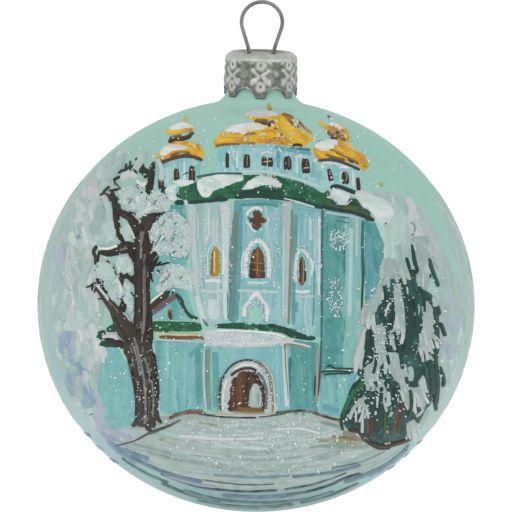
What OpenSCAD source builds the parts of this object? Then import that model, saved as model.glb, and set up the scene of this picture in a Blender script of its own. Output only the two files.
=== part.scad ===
// Glass bauble with a pressed tinplate cap and a spring-wire hanging loop.
// Frame: the origin is the hanging point, inside the top of the wire loop. +Z is up, X runs
// across the loop, and -Y is the side that is painted with the main picture.

/* [Globe] */
// Width of the blown globe
globe_w = 100; // [80:1:120]
// Height of the globe without its neck, as a share of its width
globe_roundness = 0.946; // [0.9:0.002:1]
// Thickness of the blown glass
glass_t = 0.8; // [0.6:0.1:1.2]
// Outside diameter of the neck
neck_d = 15.2; // [14:0.1:17]
// Height of the neck above the crown of the globe
neck_h = 10.3; // [8:0.1:13]
// Radius where the neck flows into the globe
neck_flow = 4.5; // [1:0.1:4.8]

/* [Cap] */
// Thickness of the tinplate
plate_t = 0.25; // [0.2:0.05:0.4]
// Free space between the neck and the top of the skirt
skirt_gap = 0.15; // [0.1:0.05:0.3]
// How much wider the radius of the skirt is at its hem
skirt_flare = 0.35; // [0.1:0.05:0.6]
// Height of the cap from its hem tongues to its top plate
cap_h = 9.6; // [8:0.1:12]
// Radius of the rounded shoulder
shoulder_r = 1.5; // [1:0.1:2.5]
// How far the top plate is dished in
dish = 0.35; // [0.1:0.05:0.6]
// Number of tongues round the hem
tongues = 7; // [5:1:9]
// Radius of the arch cut between two tongues
arch_r = 2.55; // [1.5:0.05:2.8]
// Height of the arch between two tongues
arch_h = 1.9; // [1:0.1:2.4]
// Diameter of the two wire holes
hole_d = 1.5; // [1.2:0.05:2]

/* [Hanger] */
// Diameter of the spring wire
wire_d = 0.85; // [0.6:0.05:1]
// Width of the loop, measured at the middle of the wire
loop_w = 9.25; // [8:0.05:11]
// Distance between the two wires where they pass the top plate
waist_w = 5.4; // [5:0.1:6]
// Radius of the bend at the top plate
waist_bend = 3; // [2:0.1:4]
// Lean of the loop's sides above the plate, in degrees
loop_lean = 18; // [14:1:22]
// Spread of the spring legs below the plate, in degrees
leg_spread = 9; // [6:1:9]
// Length of the straight part of each spring leg
leg_l = 18.9; // [14:0.1:18.9]

/* [Hidden] */
$fn = 64;

wire_r = wire_d / 2;
loop_r = loop_w / 2;
waist_x = waist_w / 2;
wire_sides = 14;
tip_rings = 3;

// The loop's two straight sides run between the top arc and the bend at the plate.
side_l = (loop_r * cos(loop_lean) - waist_x - waist_bend * (1 - cos(loop_lean))) / sin(loop_lean);
loop_z = wire_r - loop_r;
plate_z = loop_z - (loop_r + waist_bend) * sin(loop_lean) - side_l * cos(loop_lean);

// Cap: the lowest part of the dished plate is centred on plate_z, and its rim stands higher.
lip_gap = 0.1;
rim_z = plate_z + plate_t / 2 + dish;
dish_r = 4.6;
dish_edge = 1.1;
skirt_r = neck_d / 2 + skirt_gap + plate_t;
hem_z = rim_z - cap_h;

// Globe: half axes of the glass body, and the height of its middle.
half_w = globe_w / 2;
half_h = half_w * globe_roundness;
neck_r = neck_d / 2;
lip_z = plate_z - plate_t / 2 - lip_gap;
globe_z = lip_z - neck_h - half_h;
facet = 3;

// A point on the outside of the globe at an angle, and the outward direction there.
function skin(t) = [half_w * cos(t), half_h * sin(t)];
function outward(t) = let (n = [cos(t) / half_w, sin(t) / half_h]) n / norm(n);

// The angle at which a ball of the flow radius touches both the globe and the neck.
function flow_x(t) = skin(t)[0] + neck_flow * outward(t)[0];
function flow_angle(low = 45, high = 90, tries = 40) =
    let (mid = (low + high) / 2)
    tries == 0 ? mid
    : flow_x(mid) > neck_r + neck_flow ? flow_angle(mid, high, tries - 1)
    : flow_angle(low, mid, tries - 1);

flow_t = flow_angle();
flow_centre = skin(flow_t) + neck_flow * outward(flow_t);
flow_start = atan2(-outward(flow_t)[1], -outward(flow_t)[0]) + 360;

// One side of the glass wall, from the bottom of the globe to the neck, set in by depth.
function wall(depth) = concat(
    [for (i = [0 : ceil((flow_t + 90) / facet)])
        let (t = min(-90 + i * facet, flow_t))
        skin(t) - depth * outward(t)],
    [for (i = [1 : 8])
        let (a = flow_start + (180 - flow_start) * i / 8)
        flow_centre + (neck_flow + depth) * [cos(a), sin(a)]]
);

// The fire-polished lip is half round.
function lip(steps = 6) = [for (i = [0 : steps])
    [neck_r - glass_t / 2, half_h + neck_h - glass_t / 2]
    + glass_t / 2 * [cos(180 * i / steps), sin(180 * i / steps)]];

function reversed(list) = [for (i = [len(list) - 1 : -1 : 0]) list[i]];

module glass_globe() {
    color([0.58, 0.81, 0.73])
    translate([0, 0, globe_z])
    rotate_extrude()
    polygon(concat(wall(0), lip(), reversed(wall(glass_t))));
}

// The tinplate's section, as a line through its outside, from the axis to the hem.
function cap_outside(in) = concat(
    [[0, rim_z - dish - in], [dish_r, rim_z - dish - in]],
    [for (i = [1 : 6])
        [dish_r + dish_edge * i / 6, rim_z - in - dish * (1 + cos(180 * i / 6)) / 2]],
    [for (i = [0 : 8])
        [skirt_r - shoulder_r, rim_z - shoulder_r]
        + (shoulder_r - in) * [sin(90 * i / 8), cos(90 * i / 8)]],
    [[skirt_r + skirt_flare - in, hem_z]]
);

module hem_arches() {
    for (i = [0 : tongues - 1])
        rotate([0, 0, -90 + (i + 0.5) * 360 / tongues])
        translate([skirt_r - 3, 0, hem_z + arch_h - arch_r])
        rotate([0, 90, 0])
        cylinder(r = arch_r, h = 6);
}

module wire_holes() {
    for (side = [-1, 1])
        translate([side * waist_x, 0, plate_z - 1])
        cylinder(d = hole_d, h = 2);
}

module cap() {
    color([0.72, 0.73, 0.71])
    difference() {
        rotate_extrude()
            polygon(concat(cap_outside(0), reversed(cap_outside(plate_t))));
        hem_arches();
        wire_holes();
    }
}

// Points on an arc in the XZ plane, each with the direction of the wire there.
function bend_stations(centre, bend_r, from, to, step) =
    let (count = ceil(abs(to - from) / step), turn = to > from ? 90 : -90)
    [for (i = [0 : count])
        let (a = from + (to - from) * i / count)
        [centre + bend_r * [cos(a), sin(a)], a + turn, wire_r]];

// The wire's rounded tip: rings that shrink towards the end of the leg.
function tip_stations(tip, heading) = [for (i = [0 : tip_rings - 1])
    let (a = 90 * (i + 0.5) / tip_rings)
    [tip - wire_r * cos(a) * [cos(heading), sin(heading)], heading, wire_r * sin(a)]];

// The middle of the wire, from the tip of the right leg up to the top of the loop.
leg_top = [waist_x + waist_bend * (1 - cos(leg_spread)), plate_z - waist_bend * sin(leg_spread)];
leg_tip = leg_top + leg_l * [sin(leg_spread), -cos(leg_spread)];
right_half = concat(
    tip_stations(leg_tip, 90 + leg_spread),
    bend_stations([waist_x + waist_bend, plate_z], waist_bend, 180 + leg_spread, 180 - loop_lean, 6),
    bend_stations([0, loop_z], loop_r, -loop_lean, 90, 6)
);

// The left half is the right half in reverse, mirrored.
function mirrored(list) = [for (i = [len(list) - 2 : -1 : 0])
    [[-list[i][0][0], list[i][0][1]], -list[i][1], list[i][2]]];

// One ring of points round the wire at a station.
function wire_ring(s) = [for (k = [0 : wire_sides - 1])
    let (a = 360 * (k + 0.5) / wire_sides, out = s[2] * cos(a))
    [s[0][0] - out * sin(s[1]), s[2] * sin(a), s[0][1] + out * cos(s[1])]];

module hanger_loop() {
    stations = concat(right_half, mirrored(right_half));
    last = (len(stations) - 1) * wire_sides;
    color([0.5, 0.5, 0.49])
    polyhedron(
        points = [for (s = stations) each wire_ring(s)],
        faces = concat(
            [[for (k = [0 : wire_sides - 1]) wire_sides - 1 - k]],
            [for (i = [0 : len(stations) - 2]) for (k = [0 : wire_sides - 1])
                let (a = i * wire_sides + k, b = i * wire_sides + (k + 1) % wire_sides)
                [a, b, b + wire_sides, a + wire_sides]],
            [[for (k = [0 : wire_sides - 1]) last + k]]
        )
    );
}

glass_globe();
cap();
hanger_loop();
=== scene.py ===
# %% [markdown]
# # A hand-painted glass ball, finished in Blender
#
# The ball is a blown glass globe with a neck, a pressed tinplate cap over the neck and a loop of
# spring wire that grips the inside of the neck. The glass is lacquered mint green, and a winter
# town with a domed church is painted on it in thick oil paint, snow and glitter.
#
# The frame brings the three solid parts in at their real size and place. Everything made here
# is measured from them, in metres, and rides on one of their bodies.

# %% Load the frame
import math
import random
import bpy
import numpy as np
from mathutils import Matrix, Vector, geometry, noise


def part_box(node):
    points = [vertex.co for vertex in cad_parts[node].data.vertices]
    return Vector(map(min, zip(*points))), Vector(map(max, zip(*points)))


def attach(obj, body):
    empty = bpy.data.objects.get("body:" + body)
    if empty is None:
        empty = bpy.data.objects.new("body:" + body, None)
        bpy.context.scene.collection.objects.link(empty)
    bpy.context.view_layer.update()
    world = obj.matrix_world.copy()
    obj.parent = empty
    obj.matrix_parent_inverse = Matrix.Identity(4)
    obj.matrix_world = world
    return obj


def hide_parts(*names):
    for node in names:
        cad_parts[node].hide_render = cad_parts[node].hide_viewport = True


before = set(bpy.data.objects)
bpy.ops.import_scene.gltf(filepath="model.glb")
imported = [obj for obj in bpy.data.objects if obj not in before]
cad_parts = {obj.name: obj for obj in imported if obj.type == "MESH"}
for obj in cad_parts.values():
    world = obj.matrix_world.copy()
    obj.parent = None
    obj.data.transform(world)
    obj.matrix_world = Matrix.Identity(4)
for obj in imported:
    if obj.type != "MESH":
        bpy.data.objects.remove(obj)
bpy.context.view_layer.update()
MM = 0.001

# %% [markdown]
# ## The ball's measures
#
# A blown globe is not a perfect sphere: this one is a little flatter than it is wide. Paint is
# laid on it by direction, so its middle and its three half widths are nearly all that is
# needed. At the top the glass climbs into the neck in an arc of radius `FLOW`. `ARC_HEIGHT` is
# how high the arc's centre stands above the ball's middle, and `ARC_STARTS` how much nearer to
# the axis than that centre the arc begins.

# %% Measure the globe
globe_low, globe_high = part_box("glass_globe")
ROUNDNESS = 0.946
half_width = (globe_high.x - globe_low.x) / 2 / MM
half_height = half_width * ROUNDNESS
HALVES = np.array([half_width, half_width, half_height])
MIDDLE = np.array([0, 0, globe_low.z / MM + half_height])
NECK_R, FLOW = 7.6, 4.5
ARC_HEIGHT, ARC_STARTS = 50.51, 0.95
print("globe half widths in mm:", HALVES.round(2), "middle:", MIDDLE.round(2))

# %% [markdown]
# ## The easel
#
# A painter works on a ball as on a flat picture: what faces them is drawn to scale, and the
# rest is turned into view. An `Easel` is such a view. It takes points in millimetres, x to the
# right and z up from the ball's middle, and throws each along the line of sight onto the
# glass. Past `FOLD`, near the visible edge, lines of sight only graze the glass, so from there
# the paint is simply carried on round the side at a steady rate. Seen from the eye, the edge
# falls a little outside the glass's own half widths.

# %% Throw flat points onto the glass
FOLD = 0.94
PAST_FOLD = 2.9
VIEW_DISTANCE = 700
AIM_ABOVE_MIDDLE = 11.2
SEEN_WIDER, SEEN_TALLER = 0.13, 0.2


def unit(v):
    return v / np.maximum(np.linalg.norm(v, axis=-1, keepdims=True), 1e-9)


class Easel:
    def __init__(self, azimuth, elevation=9.0, lean=1.2):
        a, e, t = np.radians([azimuth, elevation, lean])
        self.towards = np.array([math.sin(a) * math.cos(e), -math.cos(a) * math.cos(e), math.sin(e)])
        level = np.array([math.cos(a), math.sin(a), 0])
        upright = np.cross(level, -self.towards)
        self.right = math.cos(t) * level + math.sin(t) * upright
        self.up = math.cos(t) * upright - math.sin(t) * level
        self.eye = self.towards * VIEW_DISTANCE + self.up * AIM_ABOVE_MIDDLE
        self.edge = np.array([half_width + SEEN_WIDER, half_height + SEEN_TALLER])

    def aim(self, sheet):
        """The directions, as unit vectors on a round ball, that flat points fall on."""
        sheet = np.asarray(sheet, float).reshape(-1, 2)
        reach = np.linalg.norm(sheet / self.edge, axis=1)
        near = sheet * np.minimum(1, FOLD / np.maximum(reach, 1e-9))[:, None]
        start = self.eye / HALVES
        step = (near[:, :1] * self.right + near[:, 1:] * self.up) / HALVES - start
        a = (step * step).sum(1)
        b = step @ start
        root = np.sqrt(np.maximum(b * b - a * (start @ start - 1), 0))
        hit = unit(start + ((-b - root) / a)[:, None] * step)
        pole = unit(start)
        side = unit(hit - (hit @ pole)[:, None] * pole)
        angle = np.arccos(np.clip(hit @ pole, -1, 1)) + np.maximum(0, reach - FOLD) * PAST_FOLD
        return np.cos(angle)[:, None] * pole + np.sin(angle)[:, None] * side


def on_glass(directions, lift):
    """Points in metres that stand lift millimetres above the glass. Close to the neck the glass
    climbs in an arc, so points there climb with it."""
    out = unit(directions / HALVES)
    skin = directions * HALVES
    gap = np.clip(NECK_R + FLOW - np.hypot(skin[:, 0], skin[:, 1]), -FLOW, FLOW)
    climbed = ARC_HEIGHT - np.sqrt(FLOW**2 - gap**2)
    near_neck = (skin[:, 2] > 0) & (gap > ARC_STARTS)
    skin[:, 2] = np.where(near_neck, np.maximum(skin[:, 2], climbed), skin[:, 2])
    return (MIDDLE + skin + out * np.asarray(lift)[:, None]) * MM


front = Easel(0)
back = Easel(180)
print("easel sees the middle of the sheet at", on_glass(front.aim([(0, 0)]), [0])[0].round(4))

# %% [markdown]
# ## Camera, floor and light
#
# The ball hangs in front of plain white, seen from a little above through a long lens, so the
# camera stands at the front easel. Hand-painted glass is shown best in even light: two wide
# soft boxes in front and a pale sky all round keep the relief readable without hard glints. The
# white floor just under the ball glows a little, like a light table.

# %% Camera
scene = bpy.context.scene
FRAME_WIDTH = 117.7
camera_data = bpy.data.cameras.new("camera")
camera_data.sensor_width = 36
camera_data.lens = camera_data.sensor_width * VIEW_DISTANCE / FRAME_WIDTH
camera_data.clip_start = 0.01
camera = bpy.data.objects.new("camera", camera_data)
scene.collection.objects.link(camera)
turn = np.array([front.right, front.up, front.towards]).T
stand = (MIDDLE + front.eye) * MM
camera.matrix_world = Matrix([[*turn[i], stand[i]] for i in range(3)] + [[0, 0, 0, 1]])
scene.camera = camera
scene.view_settings.view_transform = "Standard"
print("lens", round(camera_data.lens, 1), "mm")

# %% Floor and light
FLOOR_BELOW = 0.16
bpy.ops.mesh.primitive_plane_add(size=30, location=(0, 0, globe_low.z - FLOOR_BELOW))
floor = bpy.context.object
floor.name = "floor"


def new_material(name):
    """A material, its node tree and its shader."""
    material = bpy.data.materials.new(name)
    material.use_nodes = True
    return material, material.node_tree, material.node_tree.nodes["Principled BSDF"]


floor_material, _, floor_shader = new_material("floor_white")
floor_shader.inputs["Base Color"].default_value = (0.85, 0.85, 0.85, 1)
floor_shader.inputs["Emission Color"].default_value = (1, 1, 1, 1)
floor_shader.inputs["Emission Strength"].default_value = 0.3
floor_shader.inputs["Roughness"].default_value = 0.9
floor.data.materials.append(floor_material)

world = bpy.data.worlds.new("studio")
scene.world = world
world.use_nodes = True
sky = world.node_tree.nodes["Background"]
sky.inputs["Color"].default_value = (0.97, 0.985, 1, 1)
sky.inputs["Strength"].default_value = 0.86


def soft_box(name, place, size, power):
    light = bpy.data.lights.new(name, "AREA")
    light.shape = "DISK"
    light.size = size
    light.energy = power
    lamp = bpy.data.objects.new(name, light)
    lamp.location = place
    aim = Vector(MIDDLE * MM) - Vector(place)
    lamp.rotation_euler = aim.to_track_quat("-Z", "Y").to_euler()
    scene.collection.objects.link(lamp)


soft_box("key", (-0.5, -1.1, 0.8), 0.8, 3.0)
soft_box("fill", (0.9, -0.9, 0.3), 0.8, 1.2)

# %% [markdown]
# ## Pigments
#
# The painter's palette, mixed once and named for what it is used on. Screens show colours on a
# curve, while light adds up in straight lines, so each is turned from one to the other here.

# %% Mix the palette
SHADES = {
    "mint": (142, 190, 174), "mint_grey": (164, 186, 177), "mint_pale": (186, 211, 202),
    "frost": (166, 190, 187), "frost_pale": (186, 205, 200), "snow": (208, 214, 211),
    "snow_white": (228, 231, 229), "snow_grey": (174, 189, 187), "snow_pink": (204, 203, 208),
    "lilac": (148, 160, 188), "lilac_pale": (168, 178, 196), "slate": (104, 122, 132),
    "blue_dab": (70, 86, 124), "haze": (128, 160, 180),
    "wall": (143, 195, 200), "wall_pale": (170, 203, 203), "wall_white": (196, 209, 208),
    "wall_mid": (122, 183, 186), "teal": (89, 162, 157), "teal_deep": (71, 150, 146),
    "teal_pale": (127, 190, 184), "teal_blue": (96, 160, 172), "teal_ink": (54, 112, 114),
    "tan": (140, 136, 114), "olive": (114, 146, 126), "moss": (88, 104, 60),
    "ink": (38, 54, 54), "ink_brown": (44, 36, 30),
    "green_dark": (27, 70, 58), "green": (32, 92, 62), "green_bright": (46, 124, 84),
    "green_grass": (58, 112, 56), "fir": (32, 76, 66), "fir_bright": (49, 112, 90),
    "gold": (220, 178, 18), "gold_deep": (200, 146, 22), "orange": (196, 124, 26),
    "gold_green": (172, 160, 40), "tin_dark": (98, 101, 99), "tin_pale": (205, 207, 202),
    "tin_olive": (128, 128, 98), "wire_dark": (100, 100, 98), "wire_pale": (156, 156, 154),
    "umber": (132, 98, 50), "brown": (92, 60, 42),
    "brown_dark": (58, 38, 28), "rust": (120, 76, 40), "cream": (214, 202, 164),
    "bark": (70, 62, 52), "bark_dark": (44, 37, 29), "bark_pale": (150, 149, 142),
    "bark_pink": (122, 114, 114), "plum": (86, 70, 78), "ochre": (166, 124, 58),
    "ochre_dark": (132, 108, 50), "sand": (150, 152, 118), "sand_green": (140, 158, 148),
    "path": (182, 194, 190), "path_grey": (158, 172, 168), "arc_blue": (96, 127, 153),
    "arc_teal": (72, 122, 122), "arc_deep": (53, 100, 101), "arc_ink": (50, 72, 83),
}


def light(shade):
    """A shade's red, green and blue as amounts of light."""
    return tuple((c / 255 / 12.92) if c <= 10 else ((c / 255 + 0.055) / 1.055) ** 2.4 for c in SHADES[shade])


PIGMENT = {name: np.array(light(name)) for name in SHADES}
print(len(PIGMENT), "pigments mixed")

# %% [markdown]
# ## Two ways to lay paint
#
# Thick paint keeps the shape of the tool that laid it. Everything in the picture is made of
# two forms, both real relief on the glass:
#
# - a stroke of the brush: a ribbon along a line, domed across, with a groove for each bristle,
#   narrow where the brush lands and lifts;
# - a filled shape: an area with a rounded edge and the brush's marks across it.
#
# The rim of each form is sunk just under the glass, so no edge floats. Each point of the mesh
# keeps its own pigment and a `brush` coordinate (along and across the bristles), so that one
# set of materials can draw fine streaks along whatever way the brush went.

# %% Smooth lines through a few points
SUNK = -0.02


def smooth(points, spacing, closed=False):
    """A curve through the points, with a point about every spacing millimetres."""
    p = np.asarray(points, float)
    if closed:
        p = np.vstack([p[-1:], p, p[:2]])
    else:
        p = np.vstack([2 * p[0] - p[1], p, 2 * p[-1] - p[-2]])
    out = []
    for a, b, c, d in zip(p[:-3], p[1:-2], p[2:-1], p[3:]):
        n = max(1, int(np.ceil(np.linalg.norm((c - b)[:2]) / spacing)))
        t = (np.arange(n) / n)[:, None]
        out.append(0.5 * (2 * b + (c - a) * t + (2 * a - 5 * b + 4 * c - d) * t**2
                          + (3 * b - a - 3 * c + d) * t**3))
    if not closed:
        out.append(p[-2:-1])
    return np.vstack(out)


def straight(points, spacing):
    """Points along the sides of a closed shape whose corners stay sharp."""
    p = np.asarray(points, float)
    out = []
    for a, b in zip(p, np.roll(p, -1, axis=0)):
        n = max(1, int(np.ceil(np.linalg.norm(b - a) / spacing)))
        out.append(a + (b - a) * (np.arange(n) / n)[:, None])
    return np.vstack(out)


def inside(points, ring):
    """For each point, whether it is inside the closed ring, and how far it is from it."""
    a, b = ring, np.roll(ring, -1, axis=0)
    x, z = points[:, :1], points[:, 1:]
    rises = (a[:, 1] > z) != (b[:, 1] > z)
    run = np.where(b[:, 1] == a[:, 1], 1e-9, b[:, 1] - a[:, 1])
    crossing = rises & (x < (b[:, 0] - a[:, 0]) * (z - a[:, 1]) / run + a[:, 0])
    side = b - a
    t = ((x - a[:, 0]) * side[:, 0] + (z - a[:, 1]) * side[:, 1]) / np.maximum((side**2).sum(1), 1e-9)
    t = np.clip(t, 0, 1)
    gap = np.hypot(x - a[:, 0] - t * side[:, 0], z - a[:, 1] - t * side[:, 1]).min(1)
    return crossing.sum(1) % 2 == 1, gap


# %% Strokes, fills and drops
NARROW, FINE_STEP, COARSE_STEP = 1.2, 0.45, 0.8
SHADE_VARIES, HAIR_VARIES, WIDTH_VARIES = 0.08, 0.07, 0.12
GROOVE_DEPTH, LIFT_VARIES = 0.3, 0.012


class Paint:
    """The paint of one piece: collects strokes and fills, then lays them on the glass."""

    def __init__(self, easel, seed):
        self.easel = easel
        self.rng = random.Random(seed)
        self.at, self.lift, self.faces, self.colour, self.brush = [], [], [], [], []
        self.count = 0

    def add(self, sheet, lift, faces, colour, brush):
        self.at.append(np.asarray(sheet, float))
        self.lift.append(np.asarray(lift, float))
        self.colour.append(np.clip(colour, 0, 1))
        self.brush.append(brush)
        self.faces += [[i + self.count for i in f] for f in faces]
        self.count += len(sheet)

    def mix(self, pigments):
        """One pigment of a list, a little lighter or darker each time it is taken up."""
        name = pigments if isinstance(pigments, str) else self.rng.choice(pigments)
        return PIGMENT[name] * (1 + self.rng.uniform(-SHADE_VARIES, SHADE_VARIES))

    def stroke(self, path, width, pigments, lift=0.1, thick=0.07, end=None, tips=(0.3, 0.15),
               columns=7):
        """A brush stroke along path. width may be a list that runs along it; end is a second
        pigment the stroke turns into; tips are its share of width where it starts and ends."""
        rng = self.rng
        spacing = FINE_STEP if np.max(width) < NARROW else COARSE_STEP
        line = smooth(path, spacing)
        if len(line) < 4:
            line = smooth(path, spacing / 3)
        steps = np.linalg.norm(np.diff(line, axis=0), axis=1)
        along = np.concatenate([[0], np.cumsum(steps)])
        t = along / along[-1]
        way = unit(np.gradient(line, axis=0))
        across = np.stack([-way[:, 1], way[:, 0]], 1)
        half = np.interp(t, np.linspace(0, 1, np.size(width)), np.ravel(width)) / 2
        fade = min(0.3, 1.2 * half.max() / along[-1])
        half = half * np.minimum(1, tips[0] + (1 - tips[0]) * t / fade)
        half = half * np.minimum(1, tips[1] + (1 - tips[1]) * (1 - t) / fade)
        shake = rng.uniform(0, 99)
        half *= 1 + WIDTH_VARIES * np.array([noise.noise((shake, s * 0.9, 0)) for s in along])
        v = np.sin(np.linspace(-1, 1, columns) * np.pi / 2)
        groove = np.array([rng.uniform(-GROOVE_DEPTH, GROOVE_DEPTH) for _ in v])
        tone = np.array([rng.uniform(-HAIR_VARIES, HAIR_VARIES) for _ in v])
        dome = np.sqrt(1 - v**2) * (1 + groove)
        rows, cols = len(line), columns
        sheet = line[:, None] + across[:, None] * (half[:, None] * v)[..., None]
        body = (lift + rng.uniform(-LIFT_VARIES, LIFT_VARIES)) + thick * dome[None] * np.ones((rows, 1))
        body[:, 0] = body[:, -1] = SUNK
        body[0] = body[-1] = SUNK
        first = self.mix(pigments)
        last = self.mix(end) if end else first
        turn = np.clip((t - 0.35) / 0.5, 0, 1)[:, None, None]
        colour = (first + (last - first) * turn) * (1 + tone)[None, :, None] * np.ones((rows, cols, 1))
        brush = np.stack([along[:, None] + shake * np.ones(cols), half[:, None] * v,
                          np.full((rows, cols), shake)], -1)
        quads = [(i * cols + j, (i + 1) * cols + j, (i + 1) * cols + j + 1, i * cols + j + 1)
                 for i in range(rows - 1) for j in range(cols - 1)]
        self.add(sheet.reshape(-1, 2), body.ravel(), quads, colour.reshape(-1, 3), brush.reshape(-1, 3))

    def fill(self, outline, pigments, lift=0.05, thick=0.06, grain=0.9, way=90, lumps=0.0, sharp=False,
             soft=0.6, patch=(0.12, 0.5)):
        """A closed shape in several pigments, mixed wet in streaks that run at way degrees.
        lumps is how far thick paint stands up in heaps; patch is how finely the streaks vary
        along and across."""
        ring = straight(outline, grain) if sharp else smooth(outline, grain * 0.8, closed=True)
        low, high = ring.min(0), ring.max(0)
        xs, zs = np.arange(low[0], high[0], grain), np.arange(low[1], high[1], grain * 0.87)
        grid = np.array([(x + grain / 2 * (k % 2), z) for k,
                         z in enumerate(zs) for x in xs]).reshape(-1, 2)
        if len(grid):
            grid += np.array([[self.rng.uniform(-0.2, 0.2) * grain for _ in range(2)] for _ in grid])
            within, gap = inside(grid, ring)
            keep = within & (gap > grain * 0.35)
            grid, gap = grid[keep], gap[keep]
        points = np.vstack([ring, grid])
        n = len(ring)
        verts, _, faces, *_ = geometry.delaunay_2d_cdt(
            [Vector(p) for p in points], [(i, (i + 1) % n) for i in range(n)], [], 1, 1e-5)
        sheet = np.array([v[:] for v in verts])
        shake = self.rng.uniform(0, 99)
        a = math.radians(way)
        brush = np.stack([sheet @ (math.cos(a), math.sin(a)) + shake,
                          sheet @ (-math.sin(a), math.cos(a)), np.full(len(sheet), shake)], 1)
        _, depth = inside(sheet, ring)
        rise = np.sqrt(np.clip(depth / soft, 0, 1))
        heap = np.array([noise.noise((p[0] * 0.55, p[1] * 0.55, shake)) for p in sheet])
        height = lift + thick * rise + lumps * rise * (0.6 + heap)
        edge = depth < 1e-4
        height[edge] = SUNK
        names = [pigments] if isinstance(pigments, str) else pigments
        shades = np.array([PIGMENT[p] for p in names])
        wave = np.array([noise.noise((b[0] * patch[0], b[1] * patch[1], shake)) for b in brush])
        pick = np.clip((wave * 1.3 + 0.5) * (len(names) - 1), 0, len(names) - 1.001)
        base = pick.astype(int)
        part = (pick - base)[:, None]
        after = shades[np.minimum(base + 1, len(names) - 1)]
        colour = shades[base] * (1 - part) + after * part
        self.add(sheet, height, [f for f in faces if len(f) == 3], colour, brush)

    def hatch(self, outline, count, length, width, way, pigments, lift=0.12, thick=0.06, spread=12,
              spill=False):
        """Many strokes at random inside a shape, all roughly at way degrees. way may also be
        a function of the place. With spill, only where a stroke starts has to be inside."""
        ring = smooth(outline, 1.5, closed=True)
        low, high = ring.min(0), ring.max(0)
        made = tries = 0
        while made < count and tries < count * 12:
            tries += 1
            p = np.array([self.rng.uniform(low[0], high[0]), self.rng.uniform(low[1], high[1])])
            a = math.radians((way(p) if callable(way) else way) + self.rng.gauss(0, spread))
            step = np.array([math.cos(a), math.sin(a)]) * length * self.rng.uniform(0.6, 1.3) / 2
            bend = np.array([-step[1], step[0]]) * self.rng.uniform(-0.15, 0.15)
            path = np.array([p - step, p + bend, p + step])
            if not inside(path[:1] if spill else path, ring)[0].all():
                continue
            self.stroke(path, width * self.rng.uniform(0.7, 1.25), pigments, lift, thick)
            made += 1

    def dots(self, outline, count, size, pigments, lift=0.16, sides=7):
        """Flicked or stippled drops of paint: small domes inside a shape."""
        ring = smooth(outline, 2.0, closed=True)
        low, high = ring.min(0), ring.max(0)
        made = 0
        for _ in range(count * 12):
            p = np.array([self.rng.uniform(low[0], high[0]), self.rng.uniform(low[1], high[1])])
            if made == count:
                break
            if not inside(p[None], ring)[0][0]:
                continue
            self.dot(p, size * self.rng.uniform(0.5, 1.4), pigments, lift, sides)
            made += 1

    def dot(self, p, radius, pigments, lift=0.16, sides=7):
        a = np.arange(sides) * 2 * np.pi / sides + self.rng.uniform(0, 1)
        wobble = np.array([self.rng.uniform(0.8, 1.2) for _ in a]) * radius
        rim = p + np.stack([np.cos(a), np.sin(a)], 1) * wobble[:, None]
        inner = p + (rim - p) * 0.6
        sheet = np.vstack([rim, inner, [p]])
        height = [SUNK] * sides + [lift + radius * 0.22] * sides + [lift + radius * 0.32]
        faces = [(i, (i + 1) % sides, sides + (i + 1) % sides, sides + i) for i in range(sides)]
        faces += [(sides + i, sides + (i + 1) % sides, 2 * sides) for i in range(sides)]
        shade = self.mix(pigments) * np.ones((len(sheet), 1))
        self.add(sheet, height, faces, shade, np.hstack([sheet, np.zeros((len(sheet), 1))]))

    def finish(self, name, material, dried=1):
        """Lays everything collected on the glass as one mesh that rides with the globe. Oil
        dries darker than it was mixed, down to the share given."""
        sheet, lift = np.vstack(self.at), np.concatenate(self.lift)
        mesh = bpy.data.meshes.new(name)
        mesh.from_pydata(on_glass(self.easel.aim(sheet), lift).tolist(), [], self.faces)
        pigment = mesh.attributes.new("pigment", "FLOAT_COLOR", "POINT")
        colour = np.hstack([np.vstack(self.colour) * dried, np.ones((self.count, 1))])
        pigment.data.foreach_set("color", colour.astype(np.float32).ravel())
        brush = mesh.attributes.new("brush", "FLOAT_VECTOR", "POINT")
        brush.data.foreach_set("vector", np.vstack(self.brush).astype(np.float32).ravel())
        mesh.polygons.foreach_set("use_smooth", [True] * len(mesh.polygons))
        mesh.materials.append(material)
        piece = bpy.data.objects.new(name, mesh)
        scene.collection.objects.link(piece)
        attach(piece, "globe")
        print(name, len(mesh.polygons), "faces")
        return piece


# %% [markdown]
# ## Shared effects
#
# Three effects turn up in more than one finish here, so each is a node group with its own
# named inputs: streaks that follow the brush's bristles, a fine mottle such as dried varnish
# has, and wear that shows a second tone where a surface stands proud, which on the cap also
# carries painted highlights, painted reflections and painted shade. The third is made further
# down, beside the two metals that use it. A group gives out only colours, masks and heights.
# The shader stays in the material that uses it.

# %% Node group helpers
def new_group(name, inputs, outputs):
    """A shader node group. inputs and outputs are (name, kind, value) and (name, kind)."""
    group = bpy.data.node_groups.new(name, "ShaderNodeTree")
    for label, kind, value in inputs:
        socket = group.interface.new_socket(label, in_out="INPUT", socket_type="NodeSocket" + kind)
        socket.default_value = value
    for label, kind in outputs:
        group.interface.new_socket(label, in_out="OUTPUT", socket_type="NodeSocket" + kind)
    return group, group.nodes.new("NodeGroupInput"), group.nodes.new("NodeGroupOutput")


def node(tree, kind, links=None, **settings):
    """One node, with settings by attribute name and links by input name or number."""
    made = tree.nodes.new(kind)
    for key, value in settings.items():
        setattr(made, key, value)
    for key, value in (links or {}).items():
        socket = made.inputs[key]
        if isinstance(value, bpy.types.NodeSocket):
            tree.links.new(value, socket)
        else:
            socket.default_value = value
    return made


def math_node(tree, operation, a, b=0.0, c=0.0):
    return node(tree, "ShaderNodeMath", {0: a, 1: b, 2: c}, operation=operation).outputs[0]


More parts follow.
